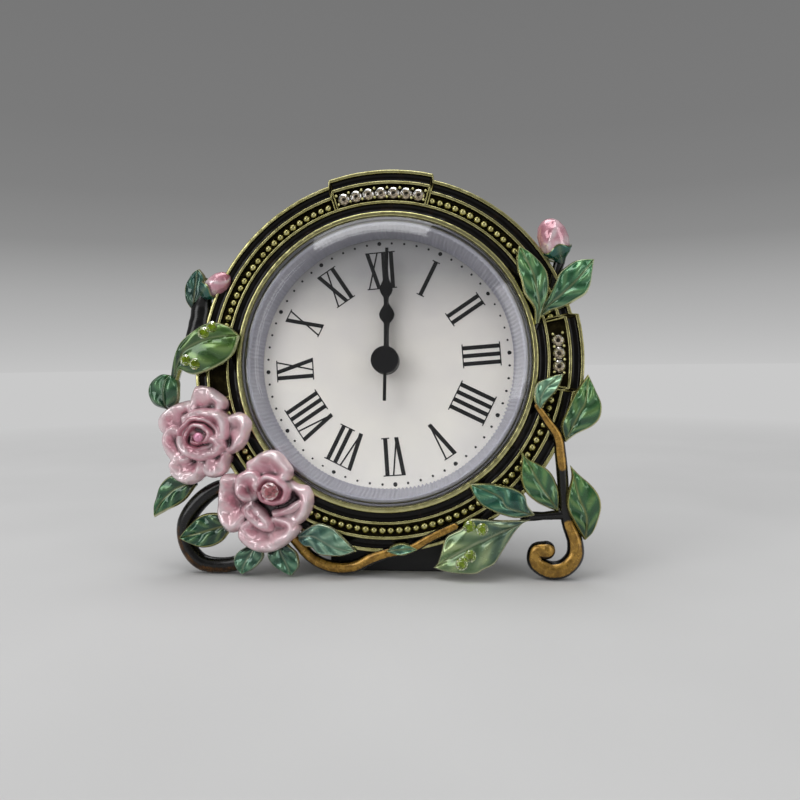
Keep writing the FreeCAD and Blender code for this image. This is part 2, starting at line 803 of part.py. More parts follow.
def make_train():
    side = (pinion_thickness - wheel_thickness) / 2
    pinion_gap = HALF_TURN / pinion_teeth
    # Stepping rotor with its magnet, and the wheel that slows it down
    rotor = fuse([
        gear(pinion_teeth, step_module, step_wheel_level - side, step_wheel_level - side + pinion_thickness,
             rotor_x, rotor_y, rotor_angle + HALF_TURN + pinion_gap),
        disc(rotor_radius, stator_level, stator_level + wheel_thickness, rotor_x, rotor_y),
        disc(arbor_radius, arbor_end_level, bridge_level + wheel_thickness, rotor_x, rotor_y),
    ])
    keep("rotor", rotor)
    keep("step_wheel", wheel_and_pinion(
        (step_teeth, step_module, step_wheel_level, rotor_angle),
        (pinion_teeth, step_module, seconds_wheel_level - side, step_angle + HALF_TURN + pinion_gap),
        (step_x, step_y, arbor_radius, arbor_end_level, bridge_level + wheel_thickness)))
    # Seconds wheel on the long arbor that carries the seconds hand
    keep("seconds_wheel", wheel_and_pinion(
        (seconds_teeth, step_module, seconds_wheel_level, step_angle),
        (pinion_teeth, third_module, third_wheel_level - side, third_angle + pinion_gap),
        (0.0, 0.0, arbor_radius, arbor_end_level, seconds_hand_level)))
    keep("third_wheel", wheel_and_pinion(
        (third_teeth, third_module, third_wheel_level, third_angle + HALF_TURN),
        (pinion_teeth, centre_module, centre_wheel_level - side, third_angle + HALF_TURN + pinion_gap),
        (third_x, third_y, arbor_radius, arbor_end_level, plate_front_level - running_gap)))
    centre = gear(centre_teeth, centre_module, centre_wheel_level, centre_wheel_level + wheel_thickness,
                  0.0, 0.0, third_angle)
    keep("centre_wheel", centre.cut(disc(cannon_radius + running_gap, centre_wheel_level - overrun,
                                         centre_wheel_level + overrun)))


def make_motion_work():
    side = (pinion_thickness - wheel_thickness) / 2
    pinion_low = minute_wheel_level - side
    cannon = fuse([
        gear(cannon_teeth, motion_module, pinion_low, pinion_low + pinion_thickness,
             0.0, 0.0, motion_angle + HALF_TURN / cannon_teeth),
        disc(cannon_radius, centre_wheel_level - running_gap, minute_hand_level),
    ])
    cannon = cannon.cut(disc(seconds_bore, centre_wheel_level - overrun, minute_hand_level + overrun))
    keep("cannon_pinion", cannon)
    minute = fuse([
        gear(minute_teeth, motion_module, minute_wheel_level, minute_wheel_level + wheel_thickness,
             minute_x, minute_y, motion_angle),
        gear(pinion_teeth, motion_module, minute_wheel_level, hour_wheel_level + wheel_thickness,
             minute_x, minute_y, motion_angle + HALF_TURN),
    ])
    minute = minute.cut(disc(stud_radius + running_gap, minute_wheel_level - overrun,
                             hour_wheel_level + overrun, minute_x, minute_y))
    keep("minute_wheel", minute)
    hour = fuse([
        gear(hour_teeth, motion_module, hour_wheel_level, hour_wheel_level + wheel_thickness,
             0.0, 0.0, motion_angle + HALF_TURN / hour_teeth),
        disc(hour_tube_radius, hour_wheel_level, hour_hand_level),
    ])
    keep("hour_wheel", hour.cut(disc(hour_bore, hour_wheel_level - overrun, hour_hand_level + overrun)))
    knob_top = cover_back_level - knob_gap
    knob = fuse([
        disc(knob_radius, knob_top - knob_height, knob_top, knob_x, knob_y),
        disc(knob_arbor_radius, knob_top, pinion_low, knob_x, knob_y),
        gear(cannon_teeth, motion_module, pinion_low, pinion_low + pinion_thickness,
             knob_x, knob_y, motion_angle + HALF_TURN + HALF_TURN / cannon_teeth),
        disc(pivot_radius, minute_wheel_level, plate_front_level - running_gap, knob_x, knob_y),
    ])
    for index in range(knob_notches):
        x, y = polar(knob_radius, index * TURN / knob_notches)
        knob = knob.cut(disc(knob_notch_radius, knob_top - knob_height - overrun, knob_top + overrun,
                             knob_x + x, knob_y + y))
    keep("setting_knob", knob)


# Hands, all at twelve

minute_hand_shares = ((0.0, 0.020), (0.50, 0.020), (0.585, 0.024), (0.625, 0.050), (0.655, 0.060),
                      (0.69, 0.054), (0.76, 0.024), (0.85, 0.015), (1.0, 0.004))
hour_hand_shares = ((0.0, 0.034), (0.50, 0.034), (0.60, 0.045), (0.68, 0.105), (0.74, 0.120), (0.80, 0.100),
                    (0.90, 0.038), (1.0, 0.006))
minute_hand_length = 19.2
hour_hand_length = 11.4
seconds_hand_length = 19.7
seconds_tail_length = 7.0
seconds_hand_width = 0.55
seconds_hand_turn = -0.7


def hand(length, shares, level, hub, bore):
    """A spade hand on a round hub, pointing to twelve."""
    right = [(half * length, share * length) for share, half in shares]
    left = [(-x, y) for x, y in reversed(right)]
    arm = plate(right + left, level, level + hand_thickness)
    top = level + 2 * hand_thickness
    solid = fuse([arm, disc(hub, level, top)])
    return solid.cut(disc(bore, level - overrun, top + overrun))


def make_hands():
    keep("hour_hand", hand(hour_hand_length, hour_hand_shares, hour_hand_level - hand_thickness,
                           hub_radius, hour_tube_radius))
    keep("minute_hand", hand(minute_hand_length, minute_hand_shares, minute_hand_level - hand_thickness,
                             cap_radius, cannon_radius))
    half = seconds_hand_width / 2
    arm = block(-half, half, -seconds_tail_length, seconds_hand_length,
                seconds_hand_level, seconds_hand_level + hand_thickness)
    cap = disc(cap_radius, seconds_hand_level, seconds_hand_level + cap_height)
    second = fuse([arm, cap])
    second.rotate(ORIGIN, OUT, seconds_hand_turn)
    keep("seconds_hand", second)


# Movement holder, case, motor and battery

case_left = -17.0
case_right = 13.2
case_bottom = -14.6
case_top = 12.9
pillar_x = 11.4
pillar_radius = 0.7
bridge_left = 1.3
bridge_bottom = -7.6
bridge_top = -2.6
battery_x = -9.6
battery_y = -7.2
battery_gap = 0.3
coil_y = -11.3
coil_radius = 1.9
coil_left = -1.0
coil_right = 10.6
core_radius = 0.6
stator_thickness = 0.5
stator_left = 2.6
stator_top = -3.2
board_left = -15.5
board_right = -6.6
board_bottom = 1.2
board_top = 11.6
board_thickness = 0.6
board_level = -8.2
quartz_radius = 1.0
quartz_length = 5.0
contact_thickness = 0.2
contact_width = 3.0


def make_movement_holder():
    """Front plate with its rim, the minute wheel's stud and the rear bridge."""
    solid = fuse([
        disc(flange_radius, plate_back_level, plate_front_level),
        tube(flange_radius, holder_rim_inner, plate_front_level, gasket_level),
        disc(stud_radius, minute_wheel_level - wheel_thickness, plate_back_level, minute_x, minute_y),
        disc(pillar_radius, bridge_level, plate_back_level, pillar_x, bridge_bottom + pillar_radius),
        block(bridge_left, pillar_x + pillar_radius, bridge_bottom, bridge_top,
              bridge_level, bridge_level + wheel_thickness),
    ])
    front = plate_front_level + overrun
    bridge_front = bridge_level + wheel_thickness + overrun
    holes = [
        (0.0, 0.0, hour_tube_radius + running_gap, front),
        (third_x, third_y, arbor_radius + running_gap, front),
        (knob_x, knob_y, pivot_radius + running_gap, front),
        (step_x, step_y, arbor_radius + running_gap, bridge_front),
        (rotor_x, rotor_y, arbor_radius + running_gap, bridge_front),
    ]
    for x, y, radius, top in holes:
        solid = solid.cut(disc(radius, bridge_level - overrun, top, x, y))
    keep("movement_holder", solid)


def make_movement_case():
    shell = block(case_left, case_right, case_bottom, case_top, case_back_level, plate_back_level)
    shell = shell.cut(block(case_left + case_wall, case_right - case_wall, case_bottom + case_wall,
                            case_top - case_wall, case_inner_level, plate_back_level + overrun))
    bores = [
        (0.0, 0.0, arbor_radius + running_gap), (third_x, third_y, arbor_radius + running_gap),
        (step_x, step_y, arbor_radius + running_gap), (rotor_x, rotor_y, arbor_radius + running_gap),
    ]
    for x, y, radius in bores:
        shell = shell.cut(disc(radius, arbor_end_level - running_gap, case_inner_level + overrun, x, y))
    shell = shell.cut(disc(knob_arbor_radius + running_gap, case_back_level - overrun,
                           case_inner_level + overrun, knob_x, knob_y))
    shell = shell.cut(disc(battery_radius + battery_gap, case_back_level - overrun,
                           case_inner_level + overrun, battery_x, battery_y))
    keep("movement_case", shell)


def make_motor():
    """Stator plate round the rotor, and the coil on its core below."""
    low, high = stator_level, stator_level + stator_thickness
    middle = (stator_left + coil_right) / 2
    leg_bottom = coil_y - core_radius
    stator = block(stator_left, coil_right + core_radius, bridge_bottom - core_radius, stator_top, low, high)
    stator = fuse([
        stator,
        block(coil_right, coil_right + 2 * core_radius, leg_bottom, stator_top, low, high),
        block(coil_left - 2 * core_radius, coil_left, leg_bottom, bridge_bottom, low, high),
        block(coil_left - 2 * core_radius, middle, bridge_bottom - core_radius,
              bridge_bottom + core_radius, low, high),
    ])
    for x, y, radius in ((rotor_x, rotor_y, rotor_radius + rotor_gap),
                         (step_x, step_y, arbor_radius + rotor_gap),
                         (knob_x, knob_y, knob_arbor_radius + rotor_gap)):
        stator = stator.cut(disc(radius, low - overrun, high + overrun, x, y))
    keep("stator", stator)
    start = V(coil_left - 2 * core_radius, coil_y, high + core_radius)
    core = Part.makeCylinder(core_radius, coil_right - coil_left + 4 * core_radius, start, ACROSS)
    winding_at = V(coil_left, coil_y, high + core_radius)
    winding = Part.makeCylinder(coil_radius, coil_right - coil_left, winding_at, ACROSS)
    outside = block(case_left, case_right, case_bottom, case_top, case_back_level, case_inner_level)
    keep("coil", fuse([core, winding]).cut(outside).cut(stator))


def make_circuit():
    top = board_level + board_thickness
    board = block(board_left, board_right, board_bottom, board_top, board_level, top)
    can_at = V(board_left + 2 * quartz_radius, board_bottom + quartz_radius, top + quartz_radius)
    can = Part.makeCylinder(quartz_radius, quartz_length, can_at, V(0, 1, 0))
    chip_x = (board_left + board_right) / 2 + quartz_radius
    chip_y = (board_bottom + board_top) / 2
    chip = disc(2 * quartz_radius, top, top + quartz_radius, chip_x, chip_y)
    posts = []
    for x in (board_left + quartz_radius, board_right - quartz_radius):
        for y in (board_bottom + quartz_radius, board_top - quartz_radius):
            posts.append(disc(quartz_radius / 2, case_inner_level, board_level, x, y))
    keep("circuit_board", fuse([board, can, chip] + posts))


def make_battery():
    low = case_inner_level + running_gap
    shoulder = low + battery_height * battery_shoulder_share
    body = disc(battery_radius, low, shoulder, battery_x, battery_y)
    button = disc(battery_radius * battery_button_share, low, low + battery_height, battery_x, battery_y)
    keep("battery", fuse([body, button]))
    top = low + battery_height
    half = contact_width / 2
    minus = block(battery_x - half, battery_x + half, battery_y, case_top - case_wall - running_gap,
                  top, top + contact_thickness)
    side = case_left + case_wall
    plus = block(side, battery_x - battery_radius, battery_y - half, battery_y + half,
                 low + battery_height / 4, low + battery_height / 2)
    plus = plus.cut(disc(battery_radius, low, top, battery_x, battery_y))
    keep("battery_contacts", group([minus, plus]))


# Back cover with its foot, hatch, screws and folding leg

cover_edge_chamfer = 1.2
hatch_half_width = 7.4
hatch_length = 15.0
hatch_thickness = 0.6
hatch_pocket_depth = 0.7
hatch_grip_width = 6.0
hatch_grip_height = 0.7
hatch_grip_thickness = 0.9
lug_width = 1.8
lug_radius = 1.7
leg_barrel_width = 6.0
leg_foot_width = 14.0
leg_foot_height = 9.0
screw_head_radius = 1.0
screw_head_height = 0.6
hinge_level = cover_back_level - leg_hinge_setback
floor_depth = 40.0


def make_floor():
    """Everything below the floor plane, for cutting feet flat."""
    reach = 4 * rim_radius
    slab = Part.makeBox(reach, floor_depth, reach, V(-reach / 2, -floor_depth, -reach / 2))
    slab.translate(V(0, -dial_height, 0))
    slab.rotate(ORIGIN, ACROSS, lean_back)
    return slab


def make_back_cover(floor):
    profile = [
        (0, cover_back_level),
        (cover_radius - cover_edge_chamfer, cover_back_level),
        (cover_radius, cover_back_level + cover_edge_chamfer),
        (cover_radius, ring_back_level - cover_flange_thickness),
        (cover_flange_radius, ring_back_level - cover_flange_thickness),
        (cover_flange_radius, ring_back_level),
        (recess_radius, ring_back_level),
        (recess_radius, plate_back_level),
        (cover_inner_radius, plate_back_level),
        (cover_inner_radius, cover_inner_level),
        (0, cover_inner_level),
    ]
    shell = revolve(profile)
    half = foot_width / 2
    foot_top = -cover_inner_radius + cover_wall
    foot = block(-half, half, -floor_depth, foot_top, cover_back_level, ring_back_level)
    foot = foot.cut(disc(cover_inner_radius, cover_back_level - overrun, ring_back_level + overrun))
    lugs = []
    for side in (-1, 1):
        middle = side * (leg_barrel_width / 2 + running_gap * 2 + lug_width / 2)
        eye_end = V(middle - lug_width / 2, leg_hinge_height, hinge_level)
        eye = Part.makeCylinder(lug_radius, lug_width, eye_end, ACROSS)
        web = block(middle - lug_width / 2, middle + lug_width / 2, leg_hinge_height - lug_radius,
                    leg_hinge_height + lug_radius, hinge_level, cover_inner_level)
        lugs.extend([eye, web])
    cover = fuse([shell, foot] + lugs)
    cover = cover.cut(disc(recess_radius, plate_back_level, ring_back_level + overrun))
    pin_reach = leg_barrel_width + 4 * lug_width
    pin_end = V(-pin_reach / 2, leg_hinge_height, hinge_level)
    cover = cover.cut(Part.makeCylinder(hinge_pin_radius, pin_reach, pin_end, ACROSS))
    cover = cover.cut(disc(knob_arbor_radius + running_gap, cover_back_level - overrun,
                           cover_inner_level + overrun, knob_x, knob_y))
    cover = cover.cut(disc(battery_radius + battery_gap, cover_back_level - overrun,
                           cover_inner_level + overrun, battery_x, battery_y))
    pocket = block(-cover_flange_radius, battery_x + hatch_half_width, battery_y - hatch_half_width,
                   battery_y + hatch_half_width, cover_back_level - overrun,
                   cover_back_level + hatch_pocket_depth)
    cover = cover.cut(pocket)
    for angle in screw_angles:
        x, y = polar(screw_circle_radius, angle)
        high = ring_back_level + overrun
        cover = cover.cut(disc(screw_radius + running_gap, cover_back_level, high, x, y))
    keep("back_cover", cover.cut(floor))


def make_hatch():
    top = cover_back_level + hatch_pocket_depth - running_gap
    right = battery_x + hatch_half_width - running_gap
    low = top - hatch_thickness
    half = hatch_half_width - running_gap
    lid = block(right - hatch_length, right, battery_y - half, battery_y + half, low, top)
    grip_left = right - hatch_length + hatch_grip_height
    grip = block(grip_left, grip_left + hatch_grip_thickness, battery_y - hatch_grip_width / 2,
                 battery_y + hatch_grip_width / 2, low - hatch_grip_height, low)
    keep("battery_hatch", fuse([lid, grip]))


def make_screws():
    screws = []
    head_top = ring_back_level - cover_flange_thickness
    for angle in screw_angles:
        x, y = polar(screw_circle_radius, angle)
        screws.append(fuse([
            disc(screw_radius, head_top, ring_back_level + screw_depth - running_gap, x, y),
            disc(screw_head_radius, head_top - screw_head_height, head_top, x, y),
        ]))
    keep("cover_screws", group(screws))


def make_leg(floor):
    """The leg, drawn folded flat and then swung open about its pin."""
    half = leg_barrel_width / 2
    barrel = Part.makeCylinder(lug_radius, leg_barrel_width, V(-half, leg_hinge_height, hinge_level), ACROSS)
    low = hinge_level - leg_thickness / 2
    high = hinge_level + leg_thickness / 2
    bottom = -floor_depth
    strip = block(-half, half, bottom, leg_hinge_height, low, high)
    foot_top = -dial_height + leg_foot_height
    side = leg_foot_width / 2
    flare = plate([(-half, foot_top + half), (half, foot_top + half), (side, foot_top),
                   (side, bottom), (-side, bottom), (-side, foot_top)], low, high)
    leg = fuse([barrel, strip, flare])
    leg = leg.cut(Part.makeCylinder(hinge_pin_radius + running_gap, leg_barrel_width + 2 * overrun,
                                    V(-half - overrun, leg_hinge_height, hinge_level), ACROSS))
    leg.rotate(V(0, leg_hinge_height, hinge_level), ACROSS, leg_open_angle)
    keep("easel_leg", leg.cut(floor))
    reach = leg_barrel_width + 2 * lug_width + 4 * running_gap
    pin = Part.makeCylinder(hinge_pin_radius, reach, V(-reach / 2, leg_hinge_height, hinge_level), ACROSS)
    keep("hinge_pin", pin)


def build():
    make_ring_casting()
    make_enamel()
    make_bead_row()
    make_clear_stones()
    make_leaves()
    make_vines()
    make_buds()
    make_roses()
    make_rose_centres()
    make_green_stones()
    make_lens()
    make_sight_ring()
    make_gasket_and_dial()
    make_dial_print()
    make_train()
    make_motion_work()
    make_hands()
    make_movement_holder()
    make_movement_case()
    make_motor()
    make_circuit()
    make_battery()
    floor = make_floor()
    make_back_cover(floor)
    make_hatch()
    make_screws()
    make_leg(floor)
    for name in ("left_loop_vine", "bottom_vine", "right_vine", "bottom_leaves", "stone_leaf"):
        shapes[name] = shapes[name].cut(floor)


def stand_up(shape):
    """Turn from the face frame to the standing, leaning clock."""
    shape.rotate(ORIGIN, ACROSS, QUARTER_TURN - lean_back)
    shape.translate(V(0, 0, dial_height))
    return shape


def main():
    build()
    whole = Part.makeCompound([stand_up(shape) for shape in shapes.values()])
    box = whole.optimalBoundingBox(False, False)
    shift = V(-(box.XMin + box.XMax) / 2, -(box.YMin + box.YMax) / 2, 0)
    for name, shape in shapes.items():
        shape.translate(shift)
        shape.exportStep("parts/" + name + ".step")
    extents = [round(value, 2) for value in (box.XLength, box.YLength, box.ZLength)]
    print("size", *extents, "base", round(box.ZMin, 3))
    axes = [
        ("dial axis", 0.0, 0.0, 0.0), ("third axis", third_x, third_y, 0.0),
        ("minute wheel axis", minute_x, minute_y, 0.0), ("knob axis", knob_x, knob_y, 0.0),
        ("step axis", step_x, step_y, 0.0), ("rotor axis", rotor_x, rotor_y, 0.0),
        ("leg hinge", 0.0, leg_hinge_height, hinge_level),
    ]
    for name, x, y, level in axes:
        point = stand_up(Part.Vertex(x, y, level)).Point + shift
        print(name, [round(value, 4) for value in point])


main()
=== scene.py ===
"""Looks of the pendulette clock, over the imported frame.

Lengths are millimetres in the dial's own axes unless a name says otherwise:
across is to the right, up is up the dial, out is towards the viewer.
"""
import json
import math

import bmesh
import bpy
import numpy as np
from mathutils import Matrix, Vector


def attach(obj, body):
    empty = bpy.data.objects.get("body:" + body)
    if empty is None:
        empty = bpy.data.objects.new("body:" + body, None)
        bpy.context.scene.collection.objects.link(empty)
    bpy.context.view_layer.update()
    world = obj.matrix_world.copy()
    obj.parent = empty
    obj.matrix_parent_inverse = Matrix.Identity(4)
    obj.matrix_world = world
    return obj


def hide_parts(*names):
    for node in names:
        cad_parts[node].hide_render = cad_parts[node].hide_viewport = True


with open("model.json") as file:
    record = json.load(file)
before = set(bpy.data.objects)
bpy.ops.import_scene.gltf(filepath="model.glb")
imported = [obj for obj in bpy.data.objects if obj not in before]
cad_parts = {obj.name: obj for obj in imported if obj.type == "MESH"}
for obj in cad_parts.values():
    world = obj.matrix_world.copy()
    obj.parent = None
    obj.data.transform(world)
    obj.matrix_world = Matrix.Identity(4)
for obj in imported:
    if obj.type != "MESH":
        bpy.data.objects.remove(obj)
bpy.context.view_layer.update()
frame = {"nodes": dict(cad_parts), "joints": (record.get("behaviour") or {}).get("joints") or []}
nodes = frame["nodes"]

MM = 0.001
TURN = 2 * math.pi


# The dial's axes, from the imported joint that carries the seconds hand
dial_joint = next(joint for joint in frame["joints"] if joint["name"] == "seconds_hand_turn")
DIAL = np.array(dial_joint["pos_m"])
ACROSS = np.array([1.0, 0.0, 0.0])
OUT = -np.array(dial_joint["axis"])
OUT = OUT / np.linalg.norm(OUT)
UP = np.cross(OUT, ACROSS)


def to_world(points):
    """Points of (across, up, out) in millimetres, as metres in the shared frame."""
    points = np.asarray(points, float) * MM
    return DIAL + points[:, 0:1] * ACROSS + points[:, 1:2] * UP + points[:, 2:3] * OUT


# Camera, at the photograph's place

camera_yaw = math.radians(5.8)
camera_pitch = math.radians(3.2)
camera_roll = math.radians(0.7)
camera_shift_right = -2.207 * MM
camera_shift_up = 6.549 * MM
camera_distance = 132.4 * MM
focal_share = 750 / 800
sensor_width = 36.0


def make_camera():
    yaw, pitch, roll = camera_yaw, camera_pitch, camera_roll
    back = np.array([math.sin(yaw) * math.cos(pitch), -math.cos(yaw) * math.cos(pitch), math.sin(pitch)])
    level = np.array([math.cos(yaw), math.sin(yaw), 0.0])
    rise = np.cross(back, level)
    right = level * math.cos(roll) - rise * math.sin(roll)
    top = rise * math.cos(roll) + level * math.sin(roll)
    place = DIAL - camera_shift_right * right - camera_shift_up * top + camera_distance * back
    lens = bpy.data.cameras.new("photo_camera")
    lens.sensor_width = sensor_width
    lens.lens = sensor_width * focal_share
    lens.clip_start = 0.002
    lens.clip_end = 50.0
    camera = bpy.data.objects.new("photo_camera", lens)
    camera.matrix_world = Matrix([
        [right[0], top[0], back[0], place[0]],
        [right[1], top[1], back[1], place[1]],
        [right[2], top[2], back[2], place[2]],
        [0, 0, 0, 1],
    ])
    bpy.context.scene.collection.objects.link(camera)
    bpy.context.scene.camera = camera


# Meshes from grids of points

curve_steps = 24


def link_mesh(name, places, faces, smooth=True):
    """A mesh object at places in metres."""
    mesh = bpy.data.meshes.new(name)
    mesh.from_pydata(np.asarray(places, float).tolist(), [], np.asarray(faces).tolist())
    mesh.polygons.foreach_set("use_smooth", [smooth] * len(mesh.polygons))
    thing = bpy.data.objects.new(name, mesh)
    bpy.context.scene.collection.objects.link(thing)
    return thing


def make_mesh(name, points, faces, marks=None, smooth=True):
    """A mesh object from points in the dial's axes, with one number per point for each mark."""
    thing = link_mesh(name, to_world(points), faces, smooth)
    for label, values in (marks or {}).items():
        layer = thing.data.attributes.new(label, "FLOAT", "POINT")
        layer.data.foreach_set("value", np.asarray(values, np.float32).ravel())
    thing.data.update()
    return thing


def finish_piece(piece, material, replaces=()):
    piece.data.materials.append(material)
    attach(piece, "clock_frame")
    if replaces:
        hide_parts(*replaces)


def join_parts(parts):
    """Several (points, faces, marks) as one."""
    points, faces, marks = [], [], {}
    first = 0
    for some_points, some_faces, some_marks in parts:
        points.append(some_points)
        faces.append(some_faces + first)
        first += len(some_points)
        for label, values in some_marks.items():
            marks.setdefault(label, []).append(np.ravel(values))
    marks = {label: np.concatenate(values) for label, values in marks.items()}
    return np.vstack(points), np.vstack(faces), marks


def piece_from_parts(name, parts, material, replaces=()):
    finish_piece(make_mesh(name, *join_parts(parts)), material, replaces=replaces)


def grid_faces(rows, columns, close_rows=False, close_columns=False):
    """Quads between the points of a grid, wrapped round where it closes."""
    row_ends = rows if close_rows else rows - 1
    column_ends = columns if close_columns else columns - 1
    row, column = np.meshgrid(np.arange(row_ends), np.arange(column_ends), indexing="ij")
    next_row = (row + 1) % rows
    next_column = (column + 1) % columns
    corners = [row * columns + column, row * columns + next_column,
               next_row * columns + next_column, next_row * columns + column]
    return np.stack([corner.ravel() for corner in corners], axis=1)


def round_turn(count):
    """Even angles once round."""
    return np.arange(count) * TURN / count


def ring_of_points(radius, level, angles):
    return np.column_stack([radius * np.cos(angles), radius * np.sin(angles), np.full(len(angles), level)])


def turned_points(angles, radius, level):
    """Rows of points about the dial's axis, one row of radii and levels for each angle."""
    across = radius * np.cos(angles)[:, None]
    up = radius * np.sin(angles)[:, None]
    level = np.broadcast_to(level, across.shape)
    return np.stack([across.ravel(), up.ravel(), level.ravel()], axis=1)


def axes_along(foot, tip):
    """The length from foot to tip, its direction, and the side and lift directions across it."""
    along = np.subtract(tip, foot)
    length = np.linalg.norm(along)
    along = along / length
    side = np.cross(along, [0.0, 0.0, 1.0])
    side /= np.linalg.norm(side)
    return length, along, side, np.cross(side, along)


def smooth_line(points, count, closed=False):
    """Evenly spaced points on a soft curve through the given ones."""
    points = np.asarray(points, float)
    if closed:
        ring = np.vstack([points[-1:], points, points[:2]])
    else:
        ring = np.vstack([2 * points[0] - points[1], points, 2 * points[-1] - points[-2]])
    pieces = []
    steps = np.linspace(0, 1, curve_steps, endpoint=False)[:, None]
    for index in range(len(ring) - 3):
        a, b, c, d = ring[index:index + 4]
        pieces.append(0.5 * (2 * b + (c - a) * steps + (2 * a - 5 * b + 4 * c - d) * steps ** 2
                             + (3 * b - a - 3 * c + d) * steps ** 3))
    line = np.vstack(pieces)
    line = np.vstack([line, line[:1] if closed else points[-1:]])
    lengths = np.concatenate([[0], np.cumsum(np.linalg.norm(np.diff(line, axis=0), axis=1))])
    wanted = np.linspace(0, lengths[-1], count, endpoint=not closed)
    return np.stack([np.interp(wanted, lengths, line[:, axis]) for axis in range(line.shape[1])], axis=1)


def soft_step(low, high, value):
    share = np.clip((value - low) / (high - low), 0, 1)
    return share * share * (3 - 2 * share)


def waves(angle, *rows):
    """Sines over an angle, from rows of (height, count, phase)."""
    return sum(height * np.sin(count * angle + phase) for height, count, phase in rows)


def rounded_corners(points, radius, steps=4):
    """An open section outline with each inner corner rounded by up to radius."""
    points = np.asarray(points, float)
    result = [points[0]]
    for index in range(1, len(points) - 1):
        before, corner, after = points[index - 1], points[index], points[index + 1]
        into, away = before - corner, after - corner
        cut = min(radius, 0.45 * np.linalg.norm(into), 0.45 * np.linalg.norm(away))
        start = corner + into / np.linalg.norm(into) * cut
        end = corner + away / np.linalg.norm(away) * cut
        for share in np.linspace(0, 1, steps):
            result.append((1 - share) ** 2 * start + 2 * share * (1 - share) * corner + share ** 2 * end)
    result.append(points[-1])
    return np.array(result)


# Node helpers and the effects that several materials share

FLOAT, COLOUR = "NodeSocketFloat", "NodeSocketColor"
BLACK, WHITE = (0.0, 0.0, 0.0, 1.0), (1.0, 1.0, 1.0, 1.0)


def node(tree, kind, inputs=None, **settings):
    """A node with its settings, and with each input linked or set."""
    made = tree.nodes.new(kind)
    for key, value in settings.items():
        setattr(made, key, value)
    for key, value in (inputs or {}).items():
        if isinstance(value, bpy.types.NodeSocket):
            tree.links.new(value, made.inputs[key])
        else:
            made.inputs[key].default_value = value
    return made


def colour(hex_text):
    """A colour written as on the screen, as linear values."""
    values = [int(hex_text[index:index + 2], 16) / 255 for index in (0, 2, 4)]
    linear = [value / 12.92 if value <= 0.04045 else ((value + 0.055) / 1.055) ** 2.4 for value in values]
    return (*linear, 1.0)


def darker(tone, share):
    return tuple(value * share for value in tone[:3]) + (1.0,)


def math_node(tree, operation, first, second, clamp=False):
    made = node(tree, "ShaderNodeMath", {0: first, 1: second}, operation=operation, use_clamp=clamp)
    return made.outputs[0]


def swing(tree, value, reach):
    """How far a value is from one half, times reach."""
    return math_node(tree, "MULTIPLY", math_node(tree, "SUBTRACT", value, 0.5), reach)


def mixed(tree, share, first, second, blend="MIX"):
    return node(tree, "ShaderNodeMix", {0: share, 6: first, 7: second}, data_type="RGBA",
                blend_type=blend).outputs[2]


def ramp(tree, value, stops):
    made = node(tree, "ShaderNodeValToRGB", {"Fac": value})
    band = made.color_ramp
    while len(band.elements) < len(stops):
        band.elements.new(0.5)
    for element, (place, tone) in zip(band.elements, stops):
        element.position = place
        element.color = tone if isinstance(tone, tuple) else (tone, tone, tone, 1.0)
    return made.outputs["Color"]


def mark(tree, name):
    """The number that a mesh carries at each point."""
    return node(tree, "ShaderNodeAttribute", attribute_name=name).outputs["Fac"]


def place_in_object(tree):
    return node(tree, "ShaderNodeTexCoord").outputs["Object"]


def feed(tree, taker, **sockets):
    """Link values to a node's sockets, written with _ for a space."""
    for key, value in sockets.items():
        tree.links.new(value, taker.inputs[key.replace("_", " ")])


def new_group(name, inputs, outputs):
    group = bpy.data.node_groups.new(name, "ShaderNodeTree")
    for label, kind, value in inputs:
        socket = group.interface.new_socket(name=label, in_out="INPUT", socket_type=kind)
        socket.default_value = value
    for label, kind in outputs:
        group.interface.new_socket(name=label, in_out="OUTPUT", socket_type=kind)
    source = group.nodes.new("NodeGroupInput")
    sink = group.nodes.new("NodeGroupOutput")
    return group, source.outputs, sink


def use_group(tree, group, inputs):
    return node(tree, "ShaderNodeGroup", inputs, node_tree=group).outputs


def make_cloud_group():
    """Soft noise whose lumps are about the given size in millimetres."""
    group, source, sink = new_group(
        "soft_cloud", [("Size", FLOAT, 1.0), ("Detail", FLOAT, 3.0), ("Roughness", FLOAT, 0.55)],
        [("Value", FLOAT)])
    cloud = node(group, "ShaderNodeTexNoise", {
        "Vector": place_in_object(group), "Scale": math_node(group, "DIVIDE", 1 / MM, source["Size"]),
        "Detail": source["Detail"], "Roughness": source["Roughness"]})
    feed(group, sink, Value=cloud.outputs["Fac"])
    return group


soft_cloud = make_cloud_group()


def speckle(tree, size, detail=3.0, roughness=0.55):
    return use_group(tree, soft_cloud, {"Size": size, "Detail": detail, "Roughness": roughness})["Value"]


def make_age_group():
    """Dirt in the hollows and rubbed high places, broken up by noise."""
    group, source, sink = new_group(
        "casting_age", [("Hollow", FLOAT, 0.0), ("Patch size", FLOAT, 1.2), ("Grain size", FLOAT, 0.12)],
        [("Dirt", FLOAT), ("Height", FLOAT)])
    patch = speckle(group, source["Patch size"], 5.0, 0.62)
    grain = speckle(group, source["Grain size"], 2.0, 0.5)
    feed(group, sink,
         Dirt=math_node(group, "ADD", source["Hollow"], swing(group, patch, 0.9), clamp=True),
         Height=math_node(group, "ADD", math_node(group, "MULTIPLY", patch, 0.5),
                          math_node(group, "MULTIPLY", grain, 0.5)))
    return group


valley_shade_tint = (0.20, 0.34, 0.30, 1.0)


